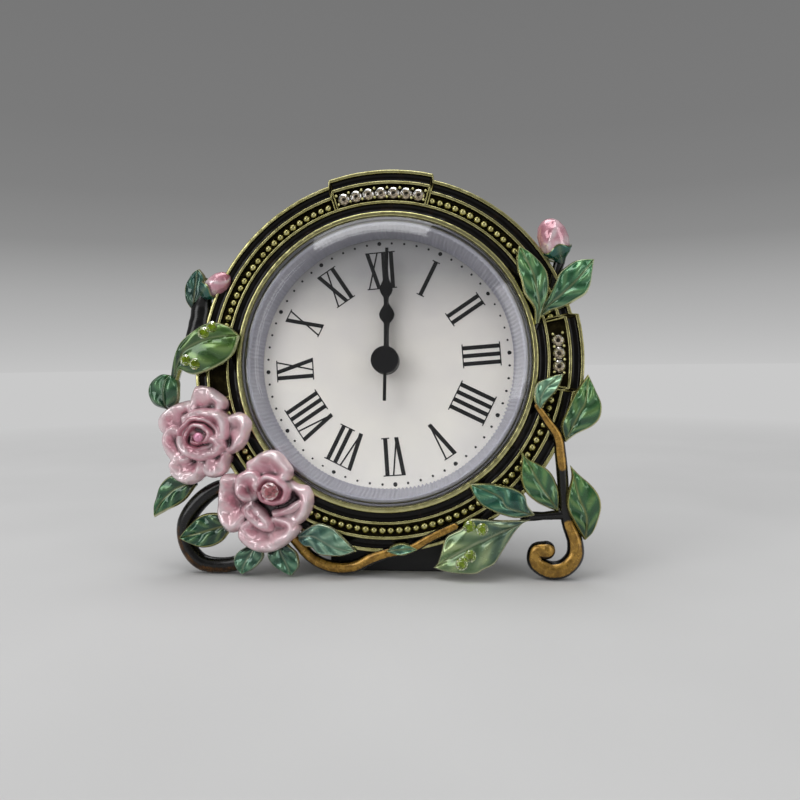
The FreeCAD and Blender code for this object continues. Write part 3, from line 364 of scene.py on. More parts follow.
def make_enamel_group():
    """Leaf enamel: one tone running to another, painted shade in the valleys, painted highlight on the folds,
    rib and metal rim.
    """
    group, source, sink = new_group(
        "leaf_enamel_paint",
        [("Base tone", COLOUR, BLACK), ("Tip tone", COLOUR, WHITE), ("Rim tone", COLOUR, WHITE),
         ("Along", FLOAT, 0.0), ("Rim", FLOAT, 0.0), ("Vein", FLOAT, 0.0), ("Rib", FLOAT, 0.0)],
        [("Color", COLOUR), ("Metal", FLOAT), ("Height", FLOAT)])
    tip_tone, rim_tone = source["Tip tone"], source["Rim tone"]
    cloud = speckle(group, 1.6, 4.0)
    fine = speckle(group, 0.25, 2.0)
    along = math_node(group, "ADD", source["Along"], swing(group, cloud, 0.9), clamp=True)
    body = mixed(group, along, source["Base tone"], tip_tone)
    # Painted shade in the valleys between the veins, broken up by the cloud, and a painted highlight on the
    # vein crests.
    deep = mixed(group, 1.0, body, valley_shade_tint, "MULTIPLY")
    valley = math_node(group, "SUBTRACT", 0.85, source["Vein"], clamp=True)
    valley = math_node(group, "MULTIPLY", valley, math_node(group, "ADD", cloud, 0.35), clamp=True)
    valley_shaded = mixed(group, valley, body, deep)
    crest = math_node(group, "SUBTRACT", source["Vein"], 0.5, clamp=True)
    crest = math_node(group, "MULTIPLY", crest, 0.8)
    lit = mixed(group, crest, valley_shaded, mixed(group, 0.35, tip_tone, rim_tone))
    ribbed = mixed(group, math_node(group, "MULTIPLY", source["Rib"], 0.3, clamp=True), lit, rim_tone)
    feed(group, sink, Color=mixed(group, source["Rim"], ribbed, rim_tone),
         Metal=math_node(group, "ADD", math_node(group, "MULTIPLY", source["Rim"], 0.3), 0.5, clamp=True),
         Height=math_node(group, "ADD", cloud, math_node(group, "MULTIPLY", fine, 0.2)))
    return group


def make_grain_group():
    """Fine moulding or brushing grain: a value about one half and a height."""
    group, source, sink = new_group(
        "fine_grain", [("Size", FLOAT, 0.2), ("Strength", FLOAT, 0.3)], [("Value", FLOAT), ("Height", FLOAT)])
    grain = speckle(group, source["Size"], 4.0, 0.5)
    value = math_node(group, "ADD", swing(group, grain, source["Strength"]), 0.5)
    feed(group, sink, Value=value, Height=grain)
    return group


casting_age = make_age_group()
leaf_enamel_paint = make_enamel_group()
fine_grain = make_grain_group()


# Materials

def new_material(name, **sockets):
    material = bpy.data.materials.new(name)
    material.use_nodes = True
    tree = material.node_tree
    shader = tree.nodes["Principled BSDF"]
    for key, value in sockets.items():
        shader.inputs[key.replace("_", " ")].default_value = value
    return material, tree, shader


def show(tree, shader):
    """Make this shader the surface."""
    output = next(item for item in tree.nodes if item.type == "OUTPUT_MATERIAL")
    tree.links.new(shader.outputs[0], output.inputs["Surface"])


def mixed_shader(tree, share, first, second):
    return node(tree, "ShaderNodeMixShader", {0: share, 1: first.outputs[0], 2: second.outputs[0]})


def bump(tree, shader, height, depth, strength, edge=0.0):
    """Raise the surface by up to depth; an edge radius also softens sharp corners."""
    made = node(tree, "ShaderNodeBump", {"Height": height, "Distance": depth * MM, "Strength": strength})
    if edge:
        rounded = node(tree, "ShaderNodeBevel", {"Radius": edge * MM}, samples=4)
        feed(tree, made, Normal=rounded.outputs[0])
    feed(tree, shader, Normal=made.outputs[0])


def antique_brass():
    material, tree, shader = new_material("antique_brass", Metallic=1.0)
    age = use_group(tree, casting_age, {"Hollow": mark(tree, "hollow"), "Patch size": 1.6, "Grain size": 0.1})
    feed(tree, shader,
         Base_Color=ramp(tree, age["Dirt"], [(0.0, colour("c9c48e")), (0.25, colour("a39d66")),
                                             (0.5, colour("6c653a")), (0.78, colour("3a341e")),
                                             (1.0, colour("221e12"))]),
         Roughness=ramp(tree, age["Dirt"], [(0.0, 0.20), (0.5, 0.32), (1.0, 0.62)]))
    bump(tree, shader, age["Height"], 0.05, 0.55)
    return material


def black_enamel():
    material, tree, shader = new_material("black_enamel", IOR=1.28)
    cloud = speckle(tree, 2.4, 4.0)
    feed(tree, shader,
         Base_Color=ramp(tree, cloud, [(0.3, colour("050404")), (0.58, colour("0d0a07")),
                                       (0.78, colour("24180d"))]),
         Roughness=ramp(tree, speckle(tree, 1.0), [(0.3, 0.10), (0.7, 0.24)]))
    bump(tree, shader, cloud, 0.12, 0.35)
    return material


def vine_enamel(name, top_light, top_dark, flank):
    """A dark stem, gold or brown where its crown mark is high; the dark flanks are partly painted shade."""
    material, tree, shader = new_material(name, Coat_Weight=0.25, Coat_Roughness=0.06, IOR=1.4)
    cloud = speckle(tree, 1.1, 4.0)
    gold = ramp(tree, cloud, [(0.3, colour(top_dark)), (0.62, colour(top_light))])
    share = math_node(tree, "ADD", mark(tree, "crown"), swing(tree, cloud, 0.5), clamp=True)
    share = ramp(tree, share, [(0.35, 0.0), (0.60, 1.0)])
    feed(tree, shader, Base_Color=mixed(tree, share, colour(flank), gold),
         Metallic=math_node(tree, "MULTIPLY", share, 0.6),
         Roughness=ramp(tree, cloud, [(0.3, 0.18), (0.7, 0.34)]))
    bump(tree, shader, speckle(tree, 2.6, 2.0), 0.04, 0.15)
    return material


def leaf_enamel(name, base, tip, rim):
    """Glossy enamel from the group, with its own tones."""
    material, tree, shader = new_material(name, Coat_Weight=0.85, Coat_Roughness=0.05)
    paint = use_group(tree, leaf_enamel_paint, {
        "Base tone": colour(base), "Tip tone": colour(tip), "Rim tone": colour(rim),
        "Along": mark(tree, "along"), "Rim": mark(tree, "rim"), "Vein": mark(tree, "vein"),
        "Rib": mark(tree, "rib")})
    feed(tree, shader, Base_Color=paint["Color"], Metallic=paint["Metal"],
         Roughness=ramp(tree, speckle(tree, 0.9), [(0.3, 0.14), (0.7, 0.30)]))
    bump(tree, shader, paint["Height"], 0.08, 0.4)
    return material


def rose_enamel(name, pale, middle, deep, dark):
    """Pearly enamel: paler on the rims, with a painted highlight there, deeper to the heart, and painted
    shade dark in the creases.
    """
    material, tree, shader = new_material(name, Coat_Weight=0.9, Coat_Roughness=0.05)
    cloud = speckle(tree, 1.7, 4.0)
    depth = math_node(tree, "ADD", mark(tree, "depth"), swing(tree, speckle(tree, 3.2, 2.0), 1.1), clamp=True)
    body = ramp(tree, depth, [(0.0, colour(pale)), (0.35, colour(middle)), (0.8, colour(deep))])
    # Near-white on the rim mark: paler enamel with a painted highlight along the rolled lips.
    pale_share = math_node(tree, "MULTIPLY", mark(tree, "rim"), ramp(tree, cloud, [(0.35, 0.25), (0.6, 1.0)]))
    rimmed = mixed(tree, pale_share, body, colour("f7e9ec"))
    # Painted shade: the dark tone fills the creases and hollows.
    crease = math_node(tree, "ADD", mark(tree, "hollow"), swing(tree, speckle(tree, 0.9), 0.5), clamp=True)
    shade = ramp(tree, crease, [(0.28, 0.0), (0.88, 1.0)])
    feed(tree, shader, Base_Color=mixed(tree, shade, rimmed, colour(dark)),
         Metallic=math_node(tree, "MULTIPLY", cloud, 0.5),
         Roughness=ramp(tree, cloud, [(0.3, 0.10), (0.7, 0.26)]))
    bump(tree, shader, speckle(tree, 1.3, 3.0), 0.16, 0.6)
    return material


def let_light_pass(tree, shader, tone):
    """Light reaches what lies behind the glass, tinted by its tone."""
    clear = node(tree, "ShaderNodeBsdfTransparent", {"Color": tone})
    shadow_ray = node(tree, "ShaderNodeLightPath").outputs["Is Shadow Ray"]
    show(tree, mixed_shader(tree, shadow_ray, shader, clear))


def crystal(name, tone, index, clearness, dark_share):
    """Cut glass, partly opaque where its colour is strong."""
    material, tree, shader = new_material(name, Transmission_Weight=clearness, IOR=index, Roughness=0.0)
    light = colour(tone)
    feed(tree, shader, Base_Color=ramp(tree, speckle(tree, 0.7, 2.0),
                                       [(0.35, darker(light, dark_share)), (0.65, light)]))
    let_light_pass(tree, shader, light)
    return material


def foil(name, light, dark, metal=1.0):
    """The bright backing that shows through a stone."""
    material, tree, shader = new_material(name, Metallic=metal)
    cloud = speckle(tree, 0.35, 2.0)
    feed(tree, shader, Base_Color=ramp(tree, cloud, [(0.35, colour(dark)), (0.65, colour(light))]),
         Roughness=ramp(tree, cloud, [(0.3, 0.08), (0.7, 0.22)]))
    return material


def lens_acrylic():
    material, tree, shader = new_material("lens_acrylic", Transmission_Weight=1.0, IOR=1.49)
    haze = speckle(tree, 6.0, 2.0)
    feed(tree, shader, Base_Color=ramp(tree, haze, [(0.3, colour("f7f7fa")), (0.7, colour("ffffff"))]),
         Roughness=ramp(tree, haze, [(0.3, 0.0), (0.8, 0.02)]))
    let_light_pass(tree, shader, WHITE)
    return material


def plain_finish(name, tone, metallic, roughness, grain, spread, depth, edge, coat=0.0, index=1.5):
    """Moulded plastic or machined metal: a slightly uneven tone, grain and softened edges."""
    material, tree, shader = new_material(name, Metallic=metallic, Coat_Weight=coat, Coat_Roughness=0.1,
                                          IOR=index)
    light = colour(tone)
    grained = use_group(tree, fine_grain, {"Size": grain, "Strength": 1.0})
    feed(tree, shader,
         Base_Color=ramp(tree, grained["Value"], [(0.25, darker(light, 1 - 2 * spread)), (0.7, light)]),
         Roughness=ramp(tree, grained["Value"], [(0.2, roughness * 0.8), (0.8, min(1.0, roughness * 1.2))]))
    bump(tree, shader, grained["Height"], depth, 0.5, edge)
    return material


dial_low = -22.0
dial_span = 44.0


def dial_finish():
    """Silvery white paint, with painted shade that makes it greyer towards twelve."""
    material, tree, shader = new_material("dial_white", Metallic=0.15, Coat_Weight=0.2, Coat_Roughness=0.2)
    grained = use_group(tree, fine_grain, {"Size": 0.25, "Strength": 0.6})
    where = node(tree, "ShaderNodeSeparateXYZ", {"Vector": place_in_object(tree)}).outputs["Z"]
    above_low = math_node(tree, "SUBTRACT", where, float(DIAL[2]) + dial_low * MM)
    height = math_node(tree, "DIVIDE", above_low, dial_span * MM)
    # Painted shade: white at the bottom running to grey at twelve, by height on the dial.
    tone = ramp(tree, height, [(0.0, colour("fbf8f0")), (0.5, colour("f0ece4")), (0.66, colour("dedad4")),
                               (0.86, colour("9c9b9a")), (1.0, colour("7e7e7e"))])
    tone = mixed(tree, math_node(tree, "MULTIPLY", grained["Value"], 0.12), tone, WHITE)
    feed(tree, shader, Base_Color=tone, Roughness=ramp(tree, grained["Value"], [(0.2, 0.42), (0.8, 0.55)]))
    bump(tree, shader, grained["Height"], 0.004, 0.3)
    return material


FINISH = {
    "antique_brass": antique_brass(),
    "black_enamel": black_enamel(),
    "black_vine": vine_enamel("black_vine", top_light="5e3d18", top_dark="1d130a", flank="030202"),
    "gold_vine": vine_enamel("gold_vine", top_light="b28a3e", top_dark="76561f", flank="040302"),
    "rose_enamel": rose_enamel("rose_enamel", pale="ecc8ce", middle="d49ca9", deep="ad6474", dark="4e3d41"),
    "rose_pearl": rose_enamel("rose_pearl", pale="f2c3d6", middle="e49cba", deep="c66e94", dark="8a5268"),
    "clear_crystal": crystal("clear_crystal", "f6f1e8", index=1.55, clearness=1.0, dark_share=0.82),
    "green_crystal": crystal("green_crystal", "b6d01c", index=1.5, clearness=0.65, dark_share=0.3),
    "pink_crystal": crystal("pink_crystal", "e8a2a8", index=1.5, clearness=0.6, dark_share=0.4),
    "clear_foil": foil("clear_foil", light="f4eee4", dark="a89e90", metal=0.5),
    "green_foil": foil("green_foil", light="c2d832", dark="6c8a08"),
    "pink_foil": foil("pink_foil", light="f2b6c4", dark="b8687e"),
    "lens_acrylic": lens_acrylic(),
    "dial_white": dial_finish(),
}

# tone, metallic, roughness, grain size, spread of the tone, depth of the grain, softened edge
plain_finishes = {
    "sight_ring_metal": ("a6a6b0", 0.3, 0.46, 0.5, 0.05, 0.002, 0.03),
    "gasket_rubber": ("1b1b1c", 0.0, 0.75, 0.15, 0.2, 0.02, 0.08),
    "cover_black": ("17171a", 0.0, 0.5, 0.25, 0.25, 0.03, 0.25),
    "leg_black": ("131314", 0.6, 0.38, 0.2, 0.2, 0.02, 0.2),
    "steel": ("c5c8cc", 1.0, 0.28, 0.12, 0.15, 0.004, 0.06),
    "case_plastic": ("2a2b2e", 0.0, 0.5, 0.25, 0.2, 0.02, 0.15),
    "wheel_plastic": ("e6e2d4", 0.0, 0.42, 0.2, 0.08, 0.005, 0.04),
    "wheel_brass": ("cba453", 1.0, 0.28, 0.12, 0.12, 0.004, 0.04),
    "knob_plastic": ("dedad0", 0.0, 0.4, 0.25, 0.08, 0.01, 0.12),
    "magnet": ("4a4b50", 0.8, 0.4, 0.15, 0.2, 0.006, 0.05),
    "coil_copper": ("b5652e", 1.0, 0.3, 0.08, 0.25, 0.03, 0.1),
    "battery_steel": ("cfd1d3", 1.0, 0.22, 0.1, 0.1, 0.004, 0.15),
}
FINISH.update({name: plain_finish(name, *values) for name, values in plain_finishes.items()})
FINISH["print_black"] = plain_finish("print_black", "08080a", 0.0, 0.45, 0.2, 0.2, 0.002, 0.01, index=1.25)
FINISH["hand_black"] = plain_finish("hand_black", "060608", 0.0, 0.22, 0.5, 0.2, 0.002, 0.06, index=1.25)
FINISH["board_green"] = plain_finish("board_green", "1d5a38", 0.0, 0.4, 0.4, 0.25, 0.01, 0.05, coat=0.4)


# Ring casting: a section swept round the dial, with the tabs raised outwards

ring_turn = math.radians(1.6)
ring_steps = 1440
ring_corner = 0.16
tab_rise = 1.05
tab_rows = ((math.pi / 2, math.radians(16.3)), (0.0, math.radians(11.5)), (math.pi, math.radians(11.5)))
tab_foot_radius = 28.6
tab_full_radius = 29.6
tab_wall_angle = math.radians(0.9)
tab_blend_angle = math.radians(0.35)
track_radii = (27.9, 31.3)
channel_radii = (30.4, 33.2)
ridge_level = 4.2
channel_wall_level = 3.75
channel_side_level = 3.8
floor_level = 2.5
worn_level = 3.6
polished_level = 3.9
polished_hollow = 0.2

# height, count and phase
ridge_waves = ((0.02, 37, 0.0), (0.015, 91, 1.3))
enamel_waves = ((0.03, 23, 0.0), (0.02, 61, 0.0))

# radius, level and hollow mark
ring_section = np.array([
    (25.05, 1.8, 0.5), (25.05, 4.42, 0.3), (25.25, 4.6, 0.0), (25.85, 4.6, 0.0), (26.05, 4.35, 0.1),
    (26.05, 3.1, 0.9), (27.5, 3.1, 0.9), (27.5, 4.2, 0.1), (27.95, 4.2, 0.1), (27.95, 3.1, 1.0),
    (29.95, 3.1, 1.0), (29.95, 4.2, 0.1), (30.45, 4.2, 0.1), (30.45, 2.9, 0.9), (31.95, 2.9, 0.9),
    (31.95, 3.9, 0.1), (32.55, 3.85, 0.1), (32.55, -0.7, 0.35), (32.05, -1.2, 0.5), (26.35, -1.2, 0.7),
    (26.35, 1.8, 0.7),
])
inner_fill = ((26.02, 3.95), (26.3, 3.72), (26.78, 3.62), (27.25, 3.7), (27.53, 3.92), (27.53, 3.2),
              (26.02, 3.2))
outer_fill = ((30.42, 3.62), (30.7, 3.42), (31.2, 3.32), (31.7, 3.4), (31.98, 3.62), (31.98, 2.9),
              (30.42, 2.9))


def tab_distance(angles):
    """How far each angle is inside the nearest tab, in radians; negative outside."""
    inside = np.full(np.shape(angles), -np.pi)
    for centre, half in tab_rows:
        away = np.abs((angles - centre - ring_turn + np.pi) % TURN - np.pi)
        inside = np.maximum(inside, half - away)
    return inside


def make_ring():
    closed = np.vstack([ring_section, ring_section[:1]])
    section = rounded_corners(closed, ring_corner)[:-1]
    section_radius, section_level, section_hollow = section.T[:, None, :]
    angles = round_turn(ring_steps)
    inside = tab_distance(angles)
    rise = tab_rise * soft_step(-tab_blend_angle, tab_blend_angle, inside)[:, None]
    radius = section_radius + rise * soft_step(tab_foot_radius, tab_full_radius, section_radius)
    level = np.broadcast_to(section_level, radius.shape)
    from_wall = np.abs(np.abs(inside) - tab_wall_angle * 0.5)
    wall = np.exp(-(from_wall / (tab_wall_angle * 0.42)) ** 4)[:, None]
    raised = level > floor_level
    in_track = raised & (radius > track_radii[0]) & (radius < track_radii[1]) & (level < ridge_level)
    in_channel = (raised & (radius > channel_radii[0]) & (radius < channel_radii[1])
                  & (level < channel_side_level))
    level = np.where(in_track, level + (ridge_level - level) * wall, level)
    level = np.where(in_channel, np.maximum(level, level + (channel_wall_level - level) * wall), level)
    level = level + np.where(level > worn_level, waves(angles, *ridge_waves)[:, None], 0)
    hollow = np.where(level > polished_level, np.minimum(section_hollow, polished_hollow), section_hollow)
    faces = grid_faces(ring_steps, len(section), close_rows=True, close_columns=True)
    ring = make_mesh("frame_ring", turned_points(angles, radius, level), faces, {"hollow": hollow})
    finish_piece(ring, FINISH["antique_brass"], replaces=("ring_casting",))


def swept_fill(name, section, spans, replaces):
    """Enamel lying in a channel, over one or more spans of the ring."""
    section_radius, section_level = np.array(section).T[:, None, :]
    parts = []
    for start, end, rise, whole in spans:
        count = max(6, int((end - start) / TURN * ring_steps))
        angles = np.linspace(start, end, count, endpoint=not whole)
        level = section_level + waves(angles, *enamel_waves)[:, None]
        points = turned_points(angles, section_radius + rise, level)
        faces = grid_faces(count, len(section), close_rows=whole, close_columns=True)
        parts.append((points, faces, {}))
    piece_from_parts(name, parts, FINISH["black_enamel"], replaces)


def make_ring_enamel():
    swept_fill("inner_channel_fill", inner_fill, [(0.0, TURN, 0.0, True)], ("inner_channel_enamel",))
    edges = sorted((centre + ring_turn - half, centre + ring_turn + half) for centre, half in tab_rows)
    spans = []
    for index, (start, end) in enumerate(edges):
        after = edges[(index + 1) % len(edges)][0]
        after = after if after > end else after + TURN
        spans.append((start + tab_wall_angle, end - tab_wall_angle, tab_rise, False))
        spans.append((end, after, 0.0, False))
    swept_fill("outer_channel_fill", outer_fill, spans, ("outer_channel_enamel",))


# Cast pearls and prongs

ball_reach = 0.62 * math.pi
bead_radius = 0.58
bead_pitch = 1.43
bead_centre_radius = 28.95
bead_centre_level = 3.28
bead_least_size = 1.08
bead_most_size = 1.24
bead_grid = (9, 20)
prong_size = 0.27
prong_level = 4.05
prong_grid = (6, 14)
prong_reaches = (-0.82, 0.82)


def ball_points(rows, columns):
    """Points and faces of a unit half ball and its skirt, pole outwards."""
    tilt = np.linspace(0.0, ball_reach, rows)
    around = round_turn(columns)
    across = np.sin(tilt)[:, None] * np.cos(around)[None, :]
    up = np.sin(tilt)[:, None] * np.sin(around)[None, :]
    out = np.cos(tilt)[:, None] * np.ones((1, columns))
    points = np.stack([across.ravel(), up.ravel(), out.ravel()], axis=1)
    return points, grid_faces(rows, columns, close_columns=True)


def many_copies(shape, places, sizes):
    """One shape's points and faces repeated at each place and size."""
    base, faces = shape
    parts = [(base * size + np.asarray(place, float), faces, {}) for place, size in zip(places, sizes)]
    points, faces, _ = join_parts(parts)
    return points, faces


def make_beads():
    count = round(TURN * bead_centre_radius / bead_pitch)
    angles = round_turn(count)
    angles = angles[tab_distance(angles) < 0]
    places = ring_of_points(bead_centre_radius, bead_centre_level, angles)
    jitter = np.random.default_rng(7)
    sizes = bead_radius * jitter.uniform(bead_least_size, bead_most_size, len(angles))
    ball = ball_points(*bead_grid)
    hollow = 0.16 + np.tile(soft_step(0.6, 0.0, ball[0][:, 2]), len(angles)) * 0.8
    beads = make_mesh("cast_pearls", *many_copies(ball, places, sizes), {"hollow": hollow})
    finish_piece(beads, FINISH["antique_brass"], replaces=("bead_row",))


# Stones: foil-backed, with a cut crown

stone_radius = 1.064
stone_pitch = math.radians(4.3)
stone_circle = 29.475
stone_level = 3.8
stone_sides = 10
stone_runs = ((math.pi / 2, 7), (0.0, 3))
foil_sides = 20
foil_size = 1.02

# radius, level and twist in sides, for a stone of unit radius
crown_rings = ((0.50, 0.52, 0.0), (0.78, 0.36, 0.5), (1.0, 0.10, 0.0), (1.0, 0.0, 0.0), (0.06, -0.7, 0.0))
table_level = 0.52
point_level = -0.72
foil_rings = ((0.97, -0.03), (0.95, -0.06), (0.7, -0.42), (0.3, -0.70), (0.02, -0.74))


def cut_stone():
    """A round cut stone as points and flat three-sided faces."""
    sides = stone_sides
    points = [ring_of_points(radius, level, (np.arange(sides) + twist) * TURN / sides)
              for radius, level, twist in crown_rings]
    faces = grid_faces(len(crown_rings), sides, close_columns=True)
    split = np.vstack([faces[:, [0, 1, 2]], faces[:, [0, 2, 3]]])
    points += [[[0.0, 0.0, table_level]], [[0.0, 0.0, point_level]]]
    centre = len(crown_rings) * sides
    last = centre - sides
    table = np.array([[centre, index, (index + 1) % sides] for index in range(sides)])
    point = np.array([[centre + 1, last + (index + 1) % sides, last + index] for index in range(sides)])
    return np.vstack(points), np.vstack([split, table, point])


def foil_cup():
    """The bright cup under a stone."""
    points = [ring_of_points(radius, level, round_turn(foil_sides)) for radius, level in foil_rings]
    return np.vstack(points), grid_faces(len(foil_rings), foil_sides, close_columns=True)


def set_stones(name, places, size, finish, foil_finish, replaces):
    """Stones of one size, each over its foil cup."""
    sizes = [size] * len(places)
    stones = make_mesh(name, *many_copies(cut_stone(), places, sizes), smooth=False)
    finish_piece(stones, FINISH[finish], replaces=replaces)
    foil_sizes = [size * foil_size] * len(places)
    cups = make_mesh(name + "_foil", *many_copies(foil_cup(), places, foil_sizes), smooth=False)
    finish_piece(cups, FINISH[foil_finish])


def angles_on_tab(centre, count):
    """Angles one stone's pitch apart, about the middle of a tab."""
    return [centre + ring_turn + (index - (count - 1) / 2) * stone_pitch for index in range(count)]


def make_ring_stones():
    places = [(stone_circle * math.cos(angle), stone_circle * math.sin(angle), stone_level)
              for centre, count in stone_runs for angle in angles_on_tab(centre, count)]
    set_stones("clear_stone_row", places, stone_radius, "clear_crystal", "clear_foil", ("clear_stones",))
    prongs = []
    for centre, count in stone_runs:
        for angle in angles_on_tab(centre, count + 1):
            for reach in prong_reaches:
                radius = stone_circle + reach
                prongs.append((radius * math.cos(angle), radius * math.sin(angle), prong_level))
    ball = ball_points(*prong_grid)
    hollow = np.tile(soft_step(0.5, -0.1, ball[0][:, 2]), len(prongs)) * 0.8
    points, faces = many_copies(ball, prongs, [prong_size] * len(prongs))
    beads = make_mesh("stone_prongs", points, faces, {"hollow": hollow})
    finish_piece(beads, FINISH["antique_brass"])


# Leaves between two edge curves and a middle rib

leaf_rows = 90
leaf_columns = 44
leaf_thickness = 0.9
leaf_under_share = 0.9
full_leaf_width = 1.6
rib_height = 0.22
rib_width = 0.22
vein_height = 0.15
vein_slope = 0.245
lip_height = 0.20
lip_width = 0.2
lip_from_edge = 0.26
edge_drop = 0.28
rim_width = 0.42
rim_full_width = 0.12

# height, waves along and across the leaf, phase, and where it starts and is full, out from the rib
leaf_buckles = ((0.24, 1.6, 0.35, 0.0, 0.0, 1.0), (0.14, 2.7, -0.5, 0.3, 0.1, 0.6))


def leaf_grid(first_edge, second_edge, levels, rib=None, arch=0.5, bulge=0.55, vein_count=4):
    """Points, faces and marks of one leaf; edges and rib run from base to tip."""
    share = np.linspace(0.0, 1.0, leaf_rows)
    along = share[:, None]
    edges = [smooth_line(edge, leaf_rows) for edge in (first_edge, second_edge)]
    rib_line = (edges[0] + edges[1]) / 2 if rib is None else smooth_line(rib, leaf_rows)
    rib_line[0] = (edges[0][0] + edges[1][0]) / 2
    rib_line[-1] = (edges[0][-1] + edges[1][-1]) / 2
    across = np.linspace(-1.0, 1.0, leaf_columns)
    side = np.abs(across)[None, :]
    edge = np.where((across < 0)[None, :, None], edges[0][:, None, :], edges[1][:, None, :])
    from_middle = edge - rib_line[:, None, :]
    half = np.linalg.norm(from_middle, axis=2)
    from_edge = (1 - side) * half
    from_rib = side * half

    fullness = np.minimum(1.0, half / full_leaf_width)
    rise = levels[0] + (levels[1] - levels[0]) * along + arch * 4 * along * (1 - along)
    swell = bulge * fullness * np.sin(np.pi * side ** 0.8)
    rib_ridge = rib_height * np.exp(-(from_rib / rib_width) ** 2) * soft_step(1.0, 0.8, along)
    wave = vein_count * (along - side * vein_slope) % 1.0
    ridge = 0.5 - 0.5 * np.cos(TURN * wave)
    vein = ridge * soft_step(0.0, 0.25, side) * soft_step(1.0, 0.7, side) * soft_step(0.02, 0.15, along)
    buckle = sum(height * np.sin(TURN * (long * along + wide * across + phase)) * soft_step(low, high, side)
                 for height, long, wide, phase, low, high in leaf_buckles)
    lip = lip_height * np.exp(-((from_edge - lip_from_edge) / lip_width) ** 2)
    rounding = edge_drop * soft_step(0.24, 0.0, from_edge)
    top = rise + swell + rib_ridge + (vein_height * vein + buckle) * fullness + lip - rounding

    flat = rib_line[:, None, :] + from_middle * side[:, :, None]
    under_flat = rib_line[:, None, :] + from_middle * (side * leaf_under_share)[:, :, None]
    under = np.broadcast_to(rise - leaf_thickness, top.shape)
    upper = np.concatenate([flat, top[:, :, None]], axis=2)
    lower = np.concatenate([under_flat, under[:, :, None]], axis=2)[:, ::-1]
    points = np.concatenate([upper, lower], axis=1).reshape(-1, 3)
    rim = soft_step(rim_width, rim_full_width, from_edge) * (half > 0.05)
    rib_mark = np.exp(-(from_rib / 0.16) ** 2)
    # The vein mark also places the painted shade in the valleys and the painted highlight on the crests.
    marks = {label: np.concatenate([values, np.zeros_like(values)], axis=1)
             for label, values in (("rim", rim), ("vein", vein), ("rib", rib_mark))}
    marks["along"] = np.repeat(along, 2 * leaf_columns, axis=1)
    return points, grid_faces(leaf_rows, 2 * leaf_columns, close_columns=True), marks


